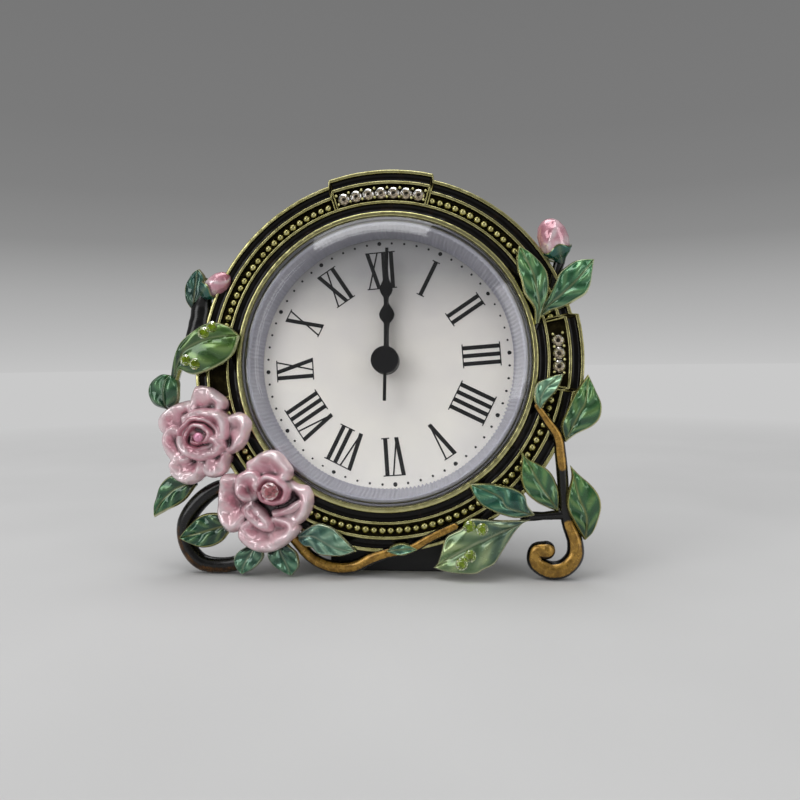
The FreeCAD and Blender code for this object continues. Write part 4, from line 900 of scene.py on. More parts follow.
# Edges and rib as (across, up) from base to tip, levels at base and tip, tones of base, tip and rim
leaf_shapes = {
    "upper_left_leaf": dict(
        first_edge=[(-38.4, -4.4), (-37.7, -2.2), (-36.9, 0.4), (-36, 2.6), (-35.1, 3.8), (-33, 5.4),
                    (-31.2, 6.5), (-29.2, 6.7), (-26.7, 5.8), (-25.2, 4.3)],
        second_edge=[(-36.9, -4.9), (-36.3, -3.0), (-35.6, -1.5), (-34.7, -2.0), (-33.1, -2.4),
                     (-31, -2.1), (-28.8, -1.2), (-26.8, 0.2), (-25.7, 1.9), (-25.2, 4.3)],
        rib=[(-37.6, -4.6), (-35.6, 0.6), (-33.9, 2.4), (-29.8, 3.9), (-25.2, 4.3)],
        levels=(3.9, 5.6), arch=1.2, tones=("0a3a38", "668f36", "b4bc86")),
    "curled_leaf": dict(
        first_edge=[(-38.5, -8.4), (-40.6, -7.6), (-41.6, -5.6), (-41.2, -3.4), (-39.6, -2.2),
                    (-37.9, -2.3)],
        second_edge=[(-38.1, -8.4), (-36.6, -7.4), (-35.9, -5.8), (-36.0, -3.9), (-36.9, -2.6),
                     (-37.8, -2.3)],
        levels=(3.1, 3.4), arch=1.5, bulge=1.0, vein_count=3, tones=("0b3a30", "4f8a58", "9fae84")),
    "lower_left_leaf": dict(
        first_edge=[(-33.2, -20.4), (-35.6, -19.8), (-37.9, -20.0), (-39.6, -21.6), (-40.6, -24.2),
                    (-40.9, -27.2)],
        second_edge=[(-33.2, -21.6), (-34.4, -23.4), (-36.2, -25.0), (-38.2, -25.9), (-39.8, -26.7),
                     (-40.9, -27.2)],
        levels=(3.2, 2.7), tones=("082c1e", "2f7a4c", "a9a868")),
    "loop_leaf": dict(
        first_edge=[(-26.6, -27.2), (-28.8, -26.2), (-31.4, -26.5), (-33.8, -28.2), (-35.8, -30.7)],
        second_edge=[(-26.4, -29.0), (-27.8, -30.9), (-30.0, -32.0), (-32.8, -31.9), (-35.8, -30.7)],
        rib=[(-26.5, -28.1), (-29.6, -29.0), (-32.4, -29.8), (-35.2, -30.5)],
        levels=(4.0, 3.9), tones=("07301f", "1c6a44", "b9b468")),
    "rose_side_leaf": dict(
        first_edge=[(-14.4, -29.4), (-12.8, -28.4), (-11.1, -27.7), (-9.8, -27.9), (-8.3, -28.5),
                    (-7, -29.8), (-5.7, -31), (-4.6, -32.4)],
        second_edge=[(-14.4, -30.8), (-13.4, -31.6), (-12.1, -31.9), (-11, -32.9), (-9.1, -33.1),
                     (-7, -33.2), (-4.6, -32.4)],
        rib=[(-14.4, -30.1), (-11.9, -29.9), (-8.2, -31.7), (-4.6, -32.4)],
        levels=(4.7, 4.7), arch=0.7, tones=("0f5a58", "9ac4a4", "c9d2b4")),
    "stone_leaf": dict(
        first_edge=[(24.2, -26.8), (19.6, -26.9), (15.2, -26.7), (14, -27), (12.9, -28.3), (11.3, -29.1),
                    (10.3, -29.9), (9.6, -32), (9, -34), (8.2, -35)],
        second_edge=[(24.2, -26.9), (23.2, -27.3), (21.8, -28.8), (20.6, -30.6), (19.3, -32.7),
                     (18.3, -34.1), (16.6, -35), (15, -35.8), (11.3, -35.8), (8.2, -35)],
        rib=[(24.2, -26.85), (19.4, -28.9), (16.9, -30.1), (15.2, -30.8), (11.6, -32.9), (8.2, -35)],
        levels=(4.9, 3.8), arch=0.75, bulge=0.6, tones=("0c4a56", "9fb676", "d6d6ac")),
    "ring_leaf": dict(
        first_edge=[(25, -26.0), (23.9, -24.5), (23.3, -22.7), (21.4, -21.6), (19.4, -21.2),
                    (17.9, -20.9), (16.1, -20.9), (14.4, -21)],
        second_edge=[(25, -26.2), (24, -26.4), (21.8, -26.6), (19.7, -26.1), (17.7, -25.3), (16, -24.3),
                     (14.8, -22.6), (14.4, -21)],
        rib=[(25, -26.1), (20.6, -24.9), (19.5, -23.3), (17.7, -22.3), (14.4, -21)],
        levels=(4.3, 5.9), tones=("0e4a46", "3f8f6c", "b4b478")),
    "centre_leaf": dict(
        first_edge=[(28.8, -25.5), (27.1, -24.9), (25.3, -24), (23.7, -22.6), (22.9, -21), (22.7, -18.9),
                    (22.9, -16.9), (22.5, -15.2)],
        second_edge=[(29, -25.4), (29, -22.6), (28.6, -20.9), (27.6, -19.1), (26.1, -17.9), (24.1, -16.9),
                     (22.5, -15.2)],
        rib=[(28.9, -25.5), (27.4, -23.4), (25.8, -21), (24.1, -17.9), (22.5, -15.2)],
        levels=(3.6, 5.8), tones=("124f3a", "57964e", "bdb970")),
    "right_lower_leaf": dict(
        first_edge=[(33.0, -30.1), (31.8, -28.1), (30.5, -25.6), (30.2, -24), (30.5, -22), (31, -19.9),
                    (30.9, -17.9)],
        second_edge=[(33.4, -30.1), (34.5, -28.9), (35.4, -26.8), (35.8, -24.8), (35.4, -22.9),
                     (34.2, -21.1), (32, -19.1), (30.9, -17.9)],
        rib=[(33.2, -30.1), (33.4, -27), (33.1, -25.4), (32.1, -23), (30.9, -17.9)],
        levels=(3.3, 4.5), tones=("0f4630", "4f8f46", "c2b968")),
    "right_upper_leaf": dict(
        first_edge=[(30.0, -13.9), (29.4, -11.4), (30.2, -9.3), (31.4, -6.6), (32.6, -4.7), (34, -2.9)],
        second_edge=[(30.3, -14.1), (32, -12.8), (34.4, -11.6), (35.6, -10.4), (36, -8.8), (35.9, -7.4),
                     (35.1, -5.4), (34, -2.9)],
        rib=[(30.1, -14), (32.5, -9.2), (33.4, -7.4), (34, -2.9)],
        levels=(4.3, 4.9), tones=("124a3a", "5f9a52", "bdb970")),
    "inner_leaf": dict(
        first_edge=[(25.8, -8.7), (25.1, -7.3), (25.1, -5.6), (25.8, -4.2), (28.2, -3.2), (29.9, -2.9)],
        second_edge=[(26.2, -8.7), (27, -7.6), (28.4, -6.1), (29.4, -4.5), (29.9, -2.9)],
        levels=(4.9, 5.8), tones=("2a7a60", "a4cfa8", "c4c99c")),
    "top_left_leaf": dict(
        first_edge=[(25.3, 5.6), (25.2, 8.2), (23.7, 10.6), (23.1, 12.9), (22.5, 14.9), (22.4, 16.8),
                    (22.8, 18.9)],
        second_edge=[(26.2, 5.8), (26.9, 8.4), (27.6, 10.2), (27.8, 12.1), (27.4, 14.3), (26.2, 16.3),
                     (24.6, 17.8), (22.8, 18.9)],
        levels=(4.5, 5.6), tones=("13523a", "5c9a58", "c6c68c")),
    "top_right_leaf": dict(
        first_edge=[(26.4, 8.4), (27.8, 10.6), (28.9, 12.8), (29.6, 14.3), (30.7, 15.4), (32.2, 16.4),
                    (33.9, 16.6), (35.5, 16.7)],
        second_edge=[(26.2, 6.6), (28.2, 7.8), (30.1, 8.4), (32.2, 9.5), (33.9, 10.6), (34.8, 12.4),
                     (35.2, 14.9), (35.5, 16.7)],
        rib=[(26.3, 7.5), (28.1, 9.1), (29.9, 10.6), (32.6, 13.2), (35.5, 16.7)],
        levels=(4.2, 4.2), tones=("125038", "529a62", "cfd2a0")),
    "vine_leaflet": dict(
        first_edge=[(0.3, -32.2), (1.6, -31.2), (3, -30.9), (4.3, -31.1), (6.0, -31.9)],
        second_edge=[(0.3, -32.4), (1.4, -32.9), (2.6, -33.1), (4.4, -32.7), (6.0, -32.0)],
        levels=(3.9, 4.1), arch=0.4, bulge=0.3, vein_count=3, tones=("0f5550", "5f9f80", "b9b570")),
}
bottom_leaf_shapes = (
    dict(
        first_edge=[(-23.4, -31.6), (-25.4, -33.0), (-25.9, -34.9), (-24.5, -36.7)],
        second_edge=[(-20.8, -31.8), (-20.7, -33.6), (-22.0, -35.4), (-24.4, -36.7)],
        levels=(3.8, 3.6), arch=0.4, bulge=0.5, vein_count=3),
    dict(
        first_edge=[(-19.4, -31.6), (-20.0, -33.4), (-18.6, -35.4), (-15.9, -36.75)],
        second_edge=[(-16.4, -31.4), (-14.8, -33.0), (-14.4, -35.0), (-15.8, -36.75)],
        levels=(3.8, 3.6), arch=0.4, bulge=0.5, vein_count=3),
)


leaf_points = {}


def level_on_leaf(name, across, up):
    """The highest point of a leaf's top near a place."""
    points = leaf_points[name]
    away = np.hypot(points[:, 0] - across, points[:, 1] - up)
    return points[away < 0.3, 2].max()


def make_leaves():
    for name, row in leaf_shapes.items():
        shape = {key: value for key, value in row.items() if key != "tones"}
        part = leaf_grid(**shape)
        leaf_points[name] = part[0]
        enamel = leaf_enamel(name + "_enamel", *row["tones"])
        piece_from_parts(name + "_enamelled", [part], enamel, (name,))
    enamel = leaf_enamel("bottom_leaf_enamel", "0b3a36", "5f9f7a", "b9c4a0")
    piece_from_parts("bottom_leaf_pair", [leaf_grid(**shape) for shape in bottom_leaf_shapes], enamel,
                     ("bottom_leaves",))


# Vines: tapering stems along soft curves

vine_sides = 28
vine_flatness = 0.92
cap_rings = 6
stem_waves = ((0.03, 9, 0.0), (0.02, 19, 2.0))
no_gold = (1.5, 2.0)


def stem_grid(rows, steps=160, crown_side=(0.0, 0.0, 1.0), crown_span=(0.5, 0.95), dark_between=None):
    """A stem through (across, up, out, radius) rows, with a crown mark on the side it is turned to."""
    line = smooth_line(rows, steps)
    centre, radius = line[:, :3], line[:, 3]
    along = np.gradient(centre, axis=0)
    along /= np.linalg.norm(along, axis=1)[:, None]
    side = np.cross(along, [0.0, 0.0, 1.0])
    side /= np.linalg.norm(side, axis=1)[:, None]
    lift = np.cross(side, along)
    around = round_turn(vine_sides)
    across_share, front_share = np.cos(around), np.sin(around)
    reach = (radius * (1 + waves(np.linspace(0, 1, steps), *stem_waves)))[:, None]
    points = (centre[:, None, :] + side[:, None, :] * (reach * across_share)[:, :, None]
              + lift[:, None, :] * (reach * vine_flatness * front_share)[:, :, None])
    facing = side[:, None, :] * across_share[None, :, None] + lift[:, None, :] * front_share[None, :, None]
    crown_direction = np.asarray(crown_side) / np.linalg.norm(crown_side)
    # Gold paint on the crown; the flanks turned away from it stay dark, partly as painted shade.
    crown = soft_step(*crown_span, facing @ crown_direction)
    if dark_between is not None:
        low, high = dark_between
        up = centre[:, 1]
        dark = soft_step(low - 1.2, low + 0.6, up) * soft_step(high + 1.2, high - 0.6, up)
        crown = crown * (1 - 0.9 * dark)[:, None]
    tops, bottoms = [], []
    for tilt in np.linspace(0.0, 0.5 * math.pi, cap_rings + 1)[1:]:
        for row, ways, rings in ((steps - 1, 1, tops), (0, -1, bottoms)):
            ring = centre[row] + (points[row] - centre[row]) * math.cos(tilt)
            rings.append(ring + ways * along[row] * radius[row] * math.sin(tilt))
    points = np.concatenate([np.array(bottoms[::-1]), points, np.array(tops)])
    crown = np.pad(crown, ((cap_rings, cap_rings), (0, 0)), mode="edge")
    faces = grid_faces(steps + 2 * cap_rings, vine_sides, close_columns=True)
    return points.reshape(-1, 3), faces, {"crown": crown}


# across, up, out and radius along each stem
left_loop_rows = (
    (-25.4, -21.0, 2.5, 1.15), (-29.8, -22.2, 2.3, 1.35), (-33.2, -24.8, 2.1, 1.5), (-35.3, -28.2, 2.0, 1.52),
    (-34.9, -31.8, 2.0, 1.5), (-32.6, -34.6, 2.0, 1.42), (-29.4, -35.3, 2.0, 1.32), (-25.6, -34.8, 2.1, 1.28),
    (-22.4, -32.6, 2.2, 1.15),
)
bottom_vine_rows = (
    (-15.6, -30.4, 2.7, 1.05), (-12.8, -33.6, 2.3, 1.0), (-9.4, -35.2, 2.2, 1.02), (-5.4, -35.1, 2.5, 1.1),
    (-2.2, -33.6, 3.1, 1.08), (0.8, -32.6, 3.5, 0.95), (4.4, -31.9, 3.8, 0.86), (8.0, -29.9, 4.1, 0.78),
    (11.8, -28.1, 4.4, 0.7),
)
right_vine_rows = (
    (25.6, -8.2, 4.8, 0.55), (27.2, -10.6, 4.6, 0.72), (28.9, -13.2, 4.2, 0.86), (29.4, -16.4, 3.8, 0.92),
    (29.7, -20.2, 3.5, 0.95), (29.9, -24.2, 3.3, 1.0), (30.6, -27.6, 3.0, 1.14), (31.6, -30.4, 2.7, 1.3),
    (31.5, -33.0, 2.5, 1.46), (29.7, -34.9, 2.4, 1.52), (27.4, -35.2, 2.4, 1.5), (25.3, -34.0, 2.4, 1.38),
    (25.3, -32.1, 2.7, 1.28), (26.9, -31.9, 3.0, 1.5),
)
branch_rows = ((23.4, -26.4, 3.1, 0.85), (26.4, -26.3, 3.1, 0.72), (29.8, -26.0, 3.1, 0.85))


def make_vines():
    # The left loop's crown faces down and to the left: a painted brown sheen on that side of the black stem.
    loop = stem_grid(left_loop_rows, crown_side=(-0.45, -0.6, 0.55), crown_span=(0.5, 1.0))
    right = stem_grid(right_vine_rows, 220, dark_between=(-26.8, -18.8))
    branch = stem_grid(branch_rows, 40, crown_span=no_gold)
    for name, parts, finish, node_name in (
            ("left_loop_stem", [loop], "black_vine", "left_loop_vine"),
            ("bottom_stem", [stem_grid(bottom_vine_rows)], "gold_vine", "bottom_vine"),
            ("right_stem", [right, branch], "gold_vine", "right_vine")):
        piece_from_parts(name, parts, FINISH[finish], (node_name,))


# Roses: overlapping petals as one raised enamel surface

rose_cell = 0.07
rose_reach = 10.6
rose_angles = 460
rose_steps = 120
rose_foot_level = 4.0
rose_skirt = ((0.99, -0.9), (0.93, -1.6), (0.80, -2.4), (0.55, -3.0), (0.02, -3.0))
# The skirt under the petals' edge takes some painted shade.
skirt_marks = {"rim": 0.0, "hollow": 0.35, "depth": 0.2}
skirt_drop = 1.2
heart_reach = 7.5
lip_inset = 1.15
petal_rise_power = 1.4
petal_lip_width = 0.8
petal_dish = 0.5
petal_dish_inset = (1.1, 3.4)
petal_edge_drop = 2.2
petal_rim_inset = 0.9
petal_rim_width = 0.7
lump_count = 9
lump_height = 0.11
lump_lengths = (2.0, 4.4)
coil_step_down = 0.35
coil_tilt = 0.42
coil_side_drop = 0.8
coil_floor_drop = 1.5
nothing_there = -9.0


def outline_depth(x, y, outline):
    """How far each point is inside a closed outline; negative outside."""
    line = smooth_line(outline, 72, closed=True)
    following = np.roll(line, -1, axis=0)
    nearest = np.full(x.shape, np.inf)
    inside = np.zeros(x.shape, bool)
    for (ax, ay), (bx, by) in zip(line, following):
        dx, dy = bx - ax, by - ay
        share = np.clip(((x - ax) * dx + (y - ay) * dy) / (dx * dx + dy * dy + 1e-12), 0, 1)
        nearest = np.minimum(nearest, (x - ax - share * dx) ** 2 + (y - ay - share * dy) ** 2)
        crosses = ((ay > y) != (by > y)) & (x < (bx - ax) * (y - ay) / (by - ay + 1e-12) + ax)
        inside ^= crosses
    distance = np.sqrt(nearest)
    return np.where(inside, distance, -distance)


def blurred(field, cells):
    """The field's mean over a square of cells, taken three times."""
    width = 2 * cells + 1
    result = field
    for _ in range(3):
        for axis in (0, 1):
            pad = [(cells, cells) if index == axis else (0, 0) for index in (0, 1)]
            sums = np.cumsum(np.pad(result, pad, mode="edge"), axis=axis)
            sums = np.concatenate([np.zeros_like(np.take(sums, [0], axis=axis)), sums], axis=axis)
            high = np.take(sums, range(width, sums.shape[axis]), axis=axis)
            low = np.take(sums, range(0, sums.shape[axis] - width), axis=axis)
            result = (high - low) / width
    return result


def rose_lumps(x, y):
    """Low waves that keep the petals from lying even."""
    rng = np.random.default_rng(11)
    lumps = np.zeros(x.shape)
    for _ in range(lump_count):
        turn, length, phase = rng.uniform(0, TURN), rng.uniform(*lump_lengths), rng.uniform(0, TURN)
        lumps += lump_height * np.sin((x * math.cos(turn) + y * math.sin(turn)) * TURN / length + phase)
    return lumps


def petal_surface(x, y, lumps, centre, outline, foot, top, lip):
    """Height and rim of a petal rising from its foot to a rolled lip; the rim is paler enamel and a painted
    highlight.
    """
    depth = outline_depth(x, y, outline)
    middle = np.mean(np.asarray(outline), axis=0)
    far = max(np.hypot(px - centre[0], py - centre[1]) for px, py in outline)
    share = np.clip(np.hypot(x - centre[0], y - centre[1]) / far, 0, 1)
    bearing = np.arctan2(y - middle[1], x - middle[0])
    bowl = foot + (top - foot) * share ** petal_rise_power
    dish = -petal_dish * soft_step(*petal_dish_inset, depth)
    uneven_lip = lip * (0.75 + waves(bearing, (0.35, 2, 3 * foot), (0.25, 3, top)))
    roll = uneven_lip * np.exp(-((depth - lip_inset) / petal_lip_width) ** 2)
    round_edge = np.sqrt(np.clip(1 - (1 - np.clip(depth / lip_inset, 0, 1)) ** 2, 0, 1))
    surface = bowl + dish + roll - petal_edge_drop * (1 - round_edge) + soft_step(0.2, 1.2, depth) * lumps
    # Rim mark: paler enamel and a painted highlight along the lip.
    rim = 0.8 * np.exp(-((depth - petal_rim_inset) / petal_rim_width) ** 2)
    return np.where(depth > 0, surface, nothing_there), rim


def coil_surface(x, y, lumps, arm, ring_x, ring_y, ring_radius, width, level, coil):
    """Height and rim of one turn of the rolled petals at the heart; the rim is a painted highlight."""
    away = np.hypot(x - ring_x, y - ring_y)
    angle = np.arctan2(y - ring_y, x - ring_x)
    wobble = waves(angle, (0.22, 2, ring_radius), (0.14, 3, 2.0), (0.05, 7, 0.0))
    spiral = ring_radius + coil * (angle / TURN + 0.5 + arm) + wobble
    from_ring = np.abs(away - spiral)
    level = level - coil_step_down * arm
    crest = level - coil_tilt * (1 - np.cos(angle - 2.1 * arm - 0.6)) + 0.5 * lumps
    tube = crest - coil_side_drop * (1 - np.sqrt(np.clip(1 - (from_ring / width) ** 2, 0, 1)))
    tube = np.where(from_ring < width, tube, nothing_there)
    floor = np.where(away < spiral, level - coil_floor_drop, nothing_there)
    # Painted highlight along the crest of the turn, stronger on one side.
    pale = np.where(from_ring < width, np.exp(-(from_ring / (0.5 * width)) ** 2), 0.0)
    return np.maximum(tube, floor), pale * (0.5 + 0.4 * np.sin(angle + arm))


def rose_fields(centre, petals, rings, crease_shadows):
    """Height, rim and hollow over a square of cells, and where the rose is; the hollow is painted shade in
    the creases.
    """
    cells = np.arange(-rose_reach, rose_reach, rose_cell)
    x, y = np.meshgrid(centre[0] + cells, centre[1] + cells, indexing="ij")
    lumps = rose_lumps(x, y)
    layers = [petal_surface(x, y, lumps, centre, *petal) for petal in petals]
    for *ring, arms in rings:
        layers += [coil_surface(x, y, lumps, arm, *ring) for arm in range(arms)]
    height = np.full(x.shape, nothing_there)
    rim = np.zeros(x.shape)
    for surface, surface_rim in layers:
        rim = np.where(surface > height, surface_rim, rim)
        height = np.maximum(surface, height)
    covered = height > nothing_there
    height = np.maximum(height, rose_foot_level)
    height = 0.45 * height + 0.55 * np.where(covered, blurred(height, 2), height)
    # Painted shade: cells that lie below their neighbours get the hollow mark, and each listed crease spot
    # adds more.
    hollow = np.clip((blurred(height, 5) - height) / 0.8, 0, 1)
    hollow += 0.55 * np.clip((blurred(height, 16) - height) / 2.0, 0, 1)
    for across, up, reach, strength in crease_shadows:
        hollow += strength * np.exp(-((x - across) ** 2 + (y - up) ** 2) / reach ** 2)
    return {"height": height, "rim": rim, "hollow": np.clip(hollow, 0, 1)}, covered


def rose_edge(covered, angles):
    """How far the petals reach at each angle."""
    steps = np.arange(0, rose_reach * 1.35, rose_cell)
    last = len(covered) - 1
    edge = np.ones(len(angles))
    for index, angle in enumerate(angles):
        column = np.clip((steps * math.cos(angle) + rose_reach) / rose_cell, 0, last).astype(int)
        row = np.clip((steps * math.sin(angle) + rose_reach) / rose_cell, 0, last).astype(int)
        inside = covered[column, row]
        if inside.any():
            edge[index] = steps[np.nonzero(inside)[0].max()]
    edge = np.minimum(edge, rose_reach - 0.2)
    return (np.roll(edge, 1) + edge * 2 + np.roll(edge, -1)) / 4


def between_cells(field, px, py):
    """The field at places that lie between its cells."""
    last = len(field) - 1
    fx = np.clip((px + rose_reach) / rose_cell, 0, last - 0.001)
    fy = np.clip((py + rose_reach) / rose_cell, 0, last - 0.001)
    ix, iy = fx.astype(int), fy.astype(int)
    tx, ty = fx - ix, fy - iy
    return ((field[ix, iy] * (1 - tx) + field[ix + 1, iy] * tx) * (1 - ty)
            + (field[ix, iy + 1] * (1 - tx) + field[ix + 1, iy + 1] * tx) * ty)


def rose_surface(name, centre, petals, rings, crease_shadows, replaces):
    """A rose from its tables; where petals overlap, the highest one shows."""
    fields, covered = rose_fields(centre, petals, rings, crease_shadows)
    angles = round_turn(rose_angles)
    edge = rose_edge(covered, angles)
    share = np.linspace(0, 1, rose_steps) ** 0.9
    radius = edge[:, None] * share[None, :] * 0.995
    px = radius * np.cos(angles)[:, None]
    py = radius * np.sin(angles)[:, None]
    level = between_cells(fields["height"], px, py)
    marks = {label: between_cells(fields[label], px, py) for label in ("rim", "hollow")}
    marks["depth"] = np.clip(1 - radius / heart_reach, 0, 1)
    edge_level = np.maximum(level[:, -1:], rose_foot_level)
    for share_in, drop in rose_skirt:
        radius = np.concatenate([radius, (edge * share_in)[:, None]], axis=1)
        level = np.concatenate([level, np.maximum(edge_level + drop, rose_foot_level - skirt_drop)], axis=1)
        for label, value in skirt_marks.items():
            marks[label] = np.concatenate([marks[label], np.full((rose_angles, 1), value)], axis=1)
    points = turned_points(angles, radius, level) + np.array([*centre, 0.0])
    piece = make_mesh(name, points, grid_faces(rose_angles, level.shape[1], close_rows=True), marks)
    finish_piece(piece, FINISH["rose_enamel"], replaces=replaces)


# Petals: outline, foot level, top level and lip height. Rings: across, up, radius, width, level,
# widening in a turn, and turns. Crease shadows: across, up, reach and strength of painted shade
# in the creases.
upper_rose_centre = (-31.7, -12.9)
upper_petals = (
    ([(-33.2, -4.6), (-31.5, -4.2), (-29.4, -5.0), (-27.3, -7.0), (-28.4, -9.6), (-31.6, -11.0),
      (-34.2, -8.4)], 4.9, 6.3, 0.5),
    ([(-33.1, -7.0), (-36.1, -7.1), (-38.3, -8.3), (-39.7, -10.2), (-39.0, -12.6), (-35.1, -14.0),
      (-31.9, -11.0)], 4.8, 6.0, 0.6),
    ([(-26.7, -9.2), (-25.3, -8.8), (-23.7, -9.5), (-22.8, -11.0), (-23.2, -12.8), (-23.9, -14.5),
      (-25.4, -15.8), (-27.5, -16.1), (-29.5, -13.0), (-28.5, -10.0)], 5.0, 6.5, 0.6),
    ([(-35.9, -11.2), (-37.4, -11.3), (-38.5, -12.5), (-38.7, -14.5), (-37.7, -16.6), (-35.9, -18.0),
      (-33.4, -17.9), (-30.9, -14.5)], 5.3, 6.6, 0.6),
    ([(-37.4, -17.6), (-36.7, -19.8), (-35.4, -21.0), (-33.4, -21.5), (-31.7, -20.6), (-30.5, -19.2),
      (-31.1, -15.6), (-34.9, -15.4)], 5.2, 6.5, 0.8),
    ([(-31.7, -18.2), (-31.1, -19.9), (-29.1, -20.3), (-27.3, -19.4), (-26.6, -17.5), (-26.6, -15.6),
      (-30.1, -14.0)], 4.9, 6.0, 0.5),
    ([(-35.2, -10.1), (-34.4, -9.2), (-32.5, -8.3), (-30.0, -8.2), (-28.0, -8.6), (-26.7, -9.9),
      (-26.5, -12.1), (-27.1, -14.0), (-30.5, -14.4), (-34.0, -13.1)], 6.2, 7.7, 0.7),
    ([(-34.9, -11.3), (-35.9, -13.7), (-34.7, -16.2), (-31.8, -17.4), (-28.8, -16.7), (-26.8, -14.9),
      (-28.0, -12.7), (-31.4, -12.1)], 6.2, 7.9, 0.7),
    ([(-37.2, -18.2), (-35.5, -18.9), (-33, -18.6), (-31.2, -18.3), (-31.6, -20.6), (-33.5, -21.5),
      (-35.5, -21), (-36.9, -19.9)], 6.0, 6.6, 0.3),
)
upper_rings = ((-31.4, -13.1, 1.05, 0.5, 8.3, 1.15, 2),)
lower_rose_centre = (-20.6, -23.9)
lower_petals = (
    ([(-23.7, -17.9), (-22.2, -16.6), (-20.7, -15.6), (-19.0, -15.3), (-17.5, -15.8), (-16.2, -17.2),
      (-15.3, -19.2), (-17.3, -22.0), (-22.1, -21.6)], 5.6, 7.4, 0.7),
    ([(-26.4, -19.4), (-28.1, -20.0), (-28.4, -22.0), (-28.6, -24.5), (-28.6, -26.5), (-27.7, -28.4),
      (-25.9, -29.6), (-23.3, -28.0), (-22.1, -24.0), (-23.5, -20.4)], 5.2, 6.5, 0.7),
    ([(-24.7, -28.0), (-24.3, -30.0), (-22.9, -31.6), (-20.4, -32.5), (-17.9, -32.1), (-15.5, -30.5),
      (-14.1, -28.8), (-15.4, -26.6), (-18.9, -26.0), (-22.5, -26.4)], 5.1, 6.5, 0.9),
    ([(-16.7, -20.0), (-14.5, -21.0), (-12.8, -21.5), (-11.9, -23.0), (-12.0, -25.0), (-13.0, -27.0),
      (-15.0, -28.2), (-18.0, -26.4), (-18.6, -22.4)], 5.0, 6.2, 0.7),
    ([(-24.3, -25.4), (-23.1, -23.9), (-21.9, -23.4), (-20.5, -24.9), (-18.8, -27.1), (-18.5, -28.8),
      (-19.7, -29.3), (-21.5, -28.7), (-23.3, -27.2)], 6.6, 7.2, 0.6),
    ([(-18.6, -26.8), (-16.7, -26.5), (-14.8, -25.8), (-13.6, -24.4), (-14.4, -23.8), (-17.1, -25.1),
      (-19.0, -25.5)], 6.9, 7.3, 0.4),
    ([(-24.9, -19.8), (-22.8, -18.6), (-20.9, -19.2), (-20.1, -21.0), (-20.7, -23.9), (-23.3, -24.6),
      (-25.2, -22.9)], 6.5, 7.9, 0.7),
    ([(-24.4, -28.6), (-22.4, -30.0), (-19.5, -30.3), (-17.4, -29.4), (-14.8, -27.9), (-13.9, -28.9),
      (-15.4, -30.7), (-18, -32.4), (-20.6, -32.8), (-23.2, -31.9), (-24.8, -30.2)], 6.2, 7.0, 0.3),
)
lower_rings = ((-18.6, -22.4, 2.0, 0.6, 8.3, 0.5, 1),)
upper_crease_shadows = ((-32.9, -13.8, 0.9, 0.6), (-31.3, -11.9, 0.8, 0.5), (-29.6, -14.9, 0.8, 0.4),
                  (-26.6, -14.4, 0.9, 0.4), (-30.6, -16.6, 0.8, 0.35), (-35.6, -14.2, 0.9, 0.3))
lower_crease_shadows = ((-21.4, -24.2, 1.3, 0.6), (-22.8, -25.2, 0.9, 0.4), (-19.2, -25.2, 1.0, 0.5),
                  (-14.6, -23.2, 0.9, 0.5), (-16.2, -25.0, 1.1, 0.4), (-22.6, -22.0, 0.8, 0.35),
                  (-20.6, -27.6, 0.7, 0.3))


pearl_place = (-31.1, -13.35, 8.2)
pearl_radius = 0.8
pearl_rows = 24
pearl_columns = 36
centre_stone_place = (-18.6, -22.35, 8.2)
centre_stone_radius = 1.5


def make_roses():
    rose_surface("upper_rose", upper_rose_centre, upper_petals, upper_rings, upper_crease_shadows, ("rose_upper",))
    rose_surface("lower_rose", lower_rose_centre, lower_petals, lower_rings, lower_crease_shadows, ("rose_lower",))
    points, faces = ball_points(pearl_rows, pearl_columns)
    tilt = np.linspace(0.0, ball_reach, pearl_rows)
    # Painted shade: the pearl darkens towards its foot, where it meets the rose.
    hollow = np.repeat(soft_step(1.1, 1.9, tilt), pearl_columns) * 0.8
    marks = {"hollow": hollow, "rim": np.zeros_like(hollow), "depth": np.full_like(hollow, 0.4)}
    pearl = make_mesh("centre_pearl", points * pearl_radius + np.array(pearl_place), faces, marks)
    finish_piece(pearl, FINISH["rose_pearl"], replaces=("rose_pearl",))
    set_stones("centre_stone", [centre_stone_place], centre_stone_radius, "pink_crystal", "pink_foil",
               ("rose_stone",))


green_stone_radius = 1.06
green_stone_sink = 0.12
green_stone_rows = (
    ("upper_left_leaf", -31.2, 4.7), ("upper_left_leaf", -29.8, 5.7), ("upper_left_leaf", -34.4, 0.1),
    ("upper_left_leaf", -32.7, -0.6), ("stone_leaf", 14.3, -28.0), ("stone_leaf", 16.4, -28.4),
    ("stone_leaf", 14.4, -32.8), ("stone_leaf", 13.0, -34.1),
)


def make_green_stones():
    places = [(across, up, level_on_leaf(name, across, up) - green_stone_sink)
              for name, across, up in green_stone_rows]
    set_stones("green_stone_set", places, green_stone_radius, "green_crystal", "green_foil",
               ("green_stones",))


# Buds: wrapped petals in a calyx

bud_steps = 48
bud_sides = 72
bud_folds = 2
bud_twist = 0.8
cup_steps = 30
cup_sides = 60
bud_outline = ((0, 0.15, 0.4, 0.65, 0.85, 0.95, 1.0), (0.55, 0.85, 1.0, 0.96, 0.72, 0.42, 0.05))
cup_outline = ((0, 0.3, 0.6, 0.85, 1.0), (0.22, 0.45, 0.9, 1.1, 1.09))

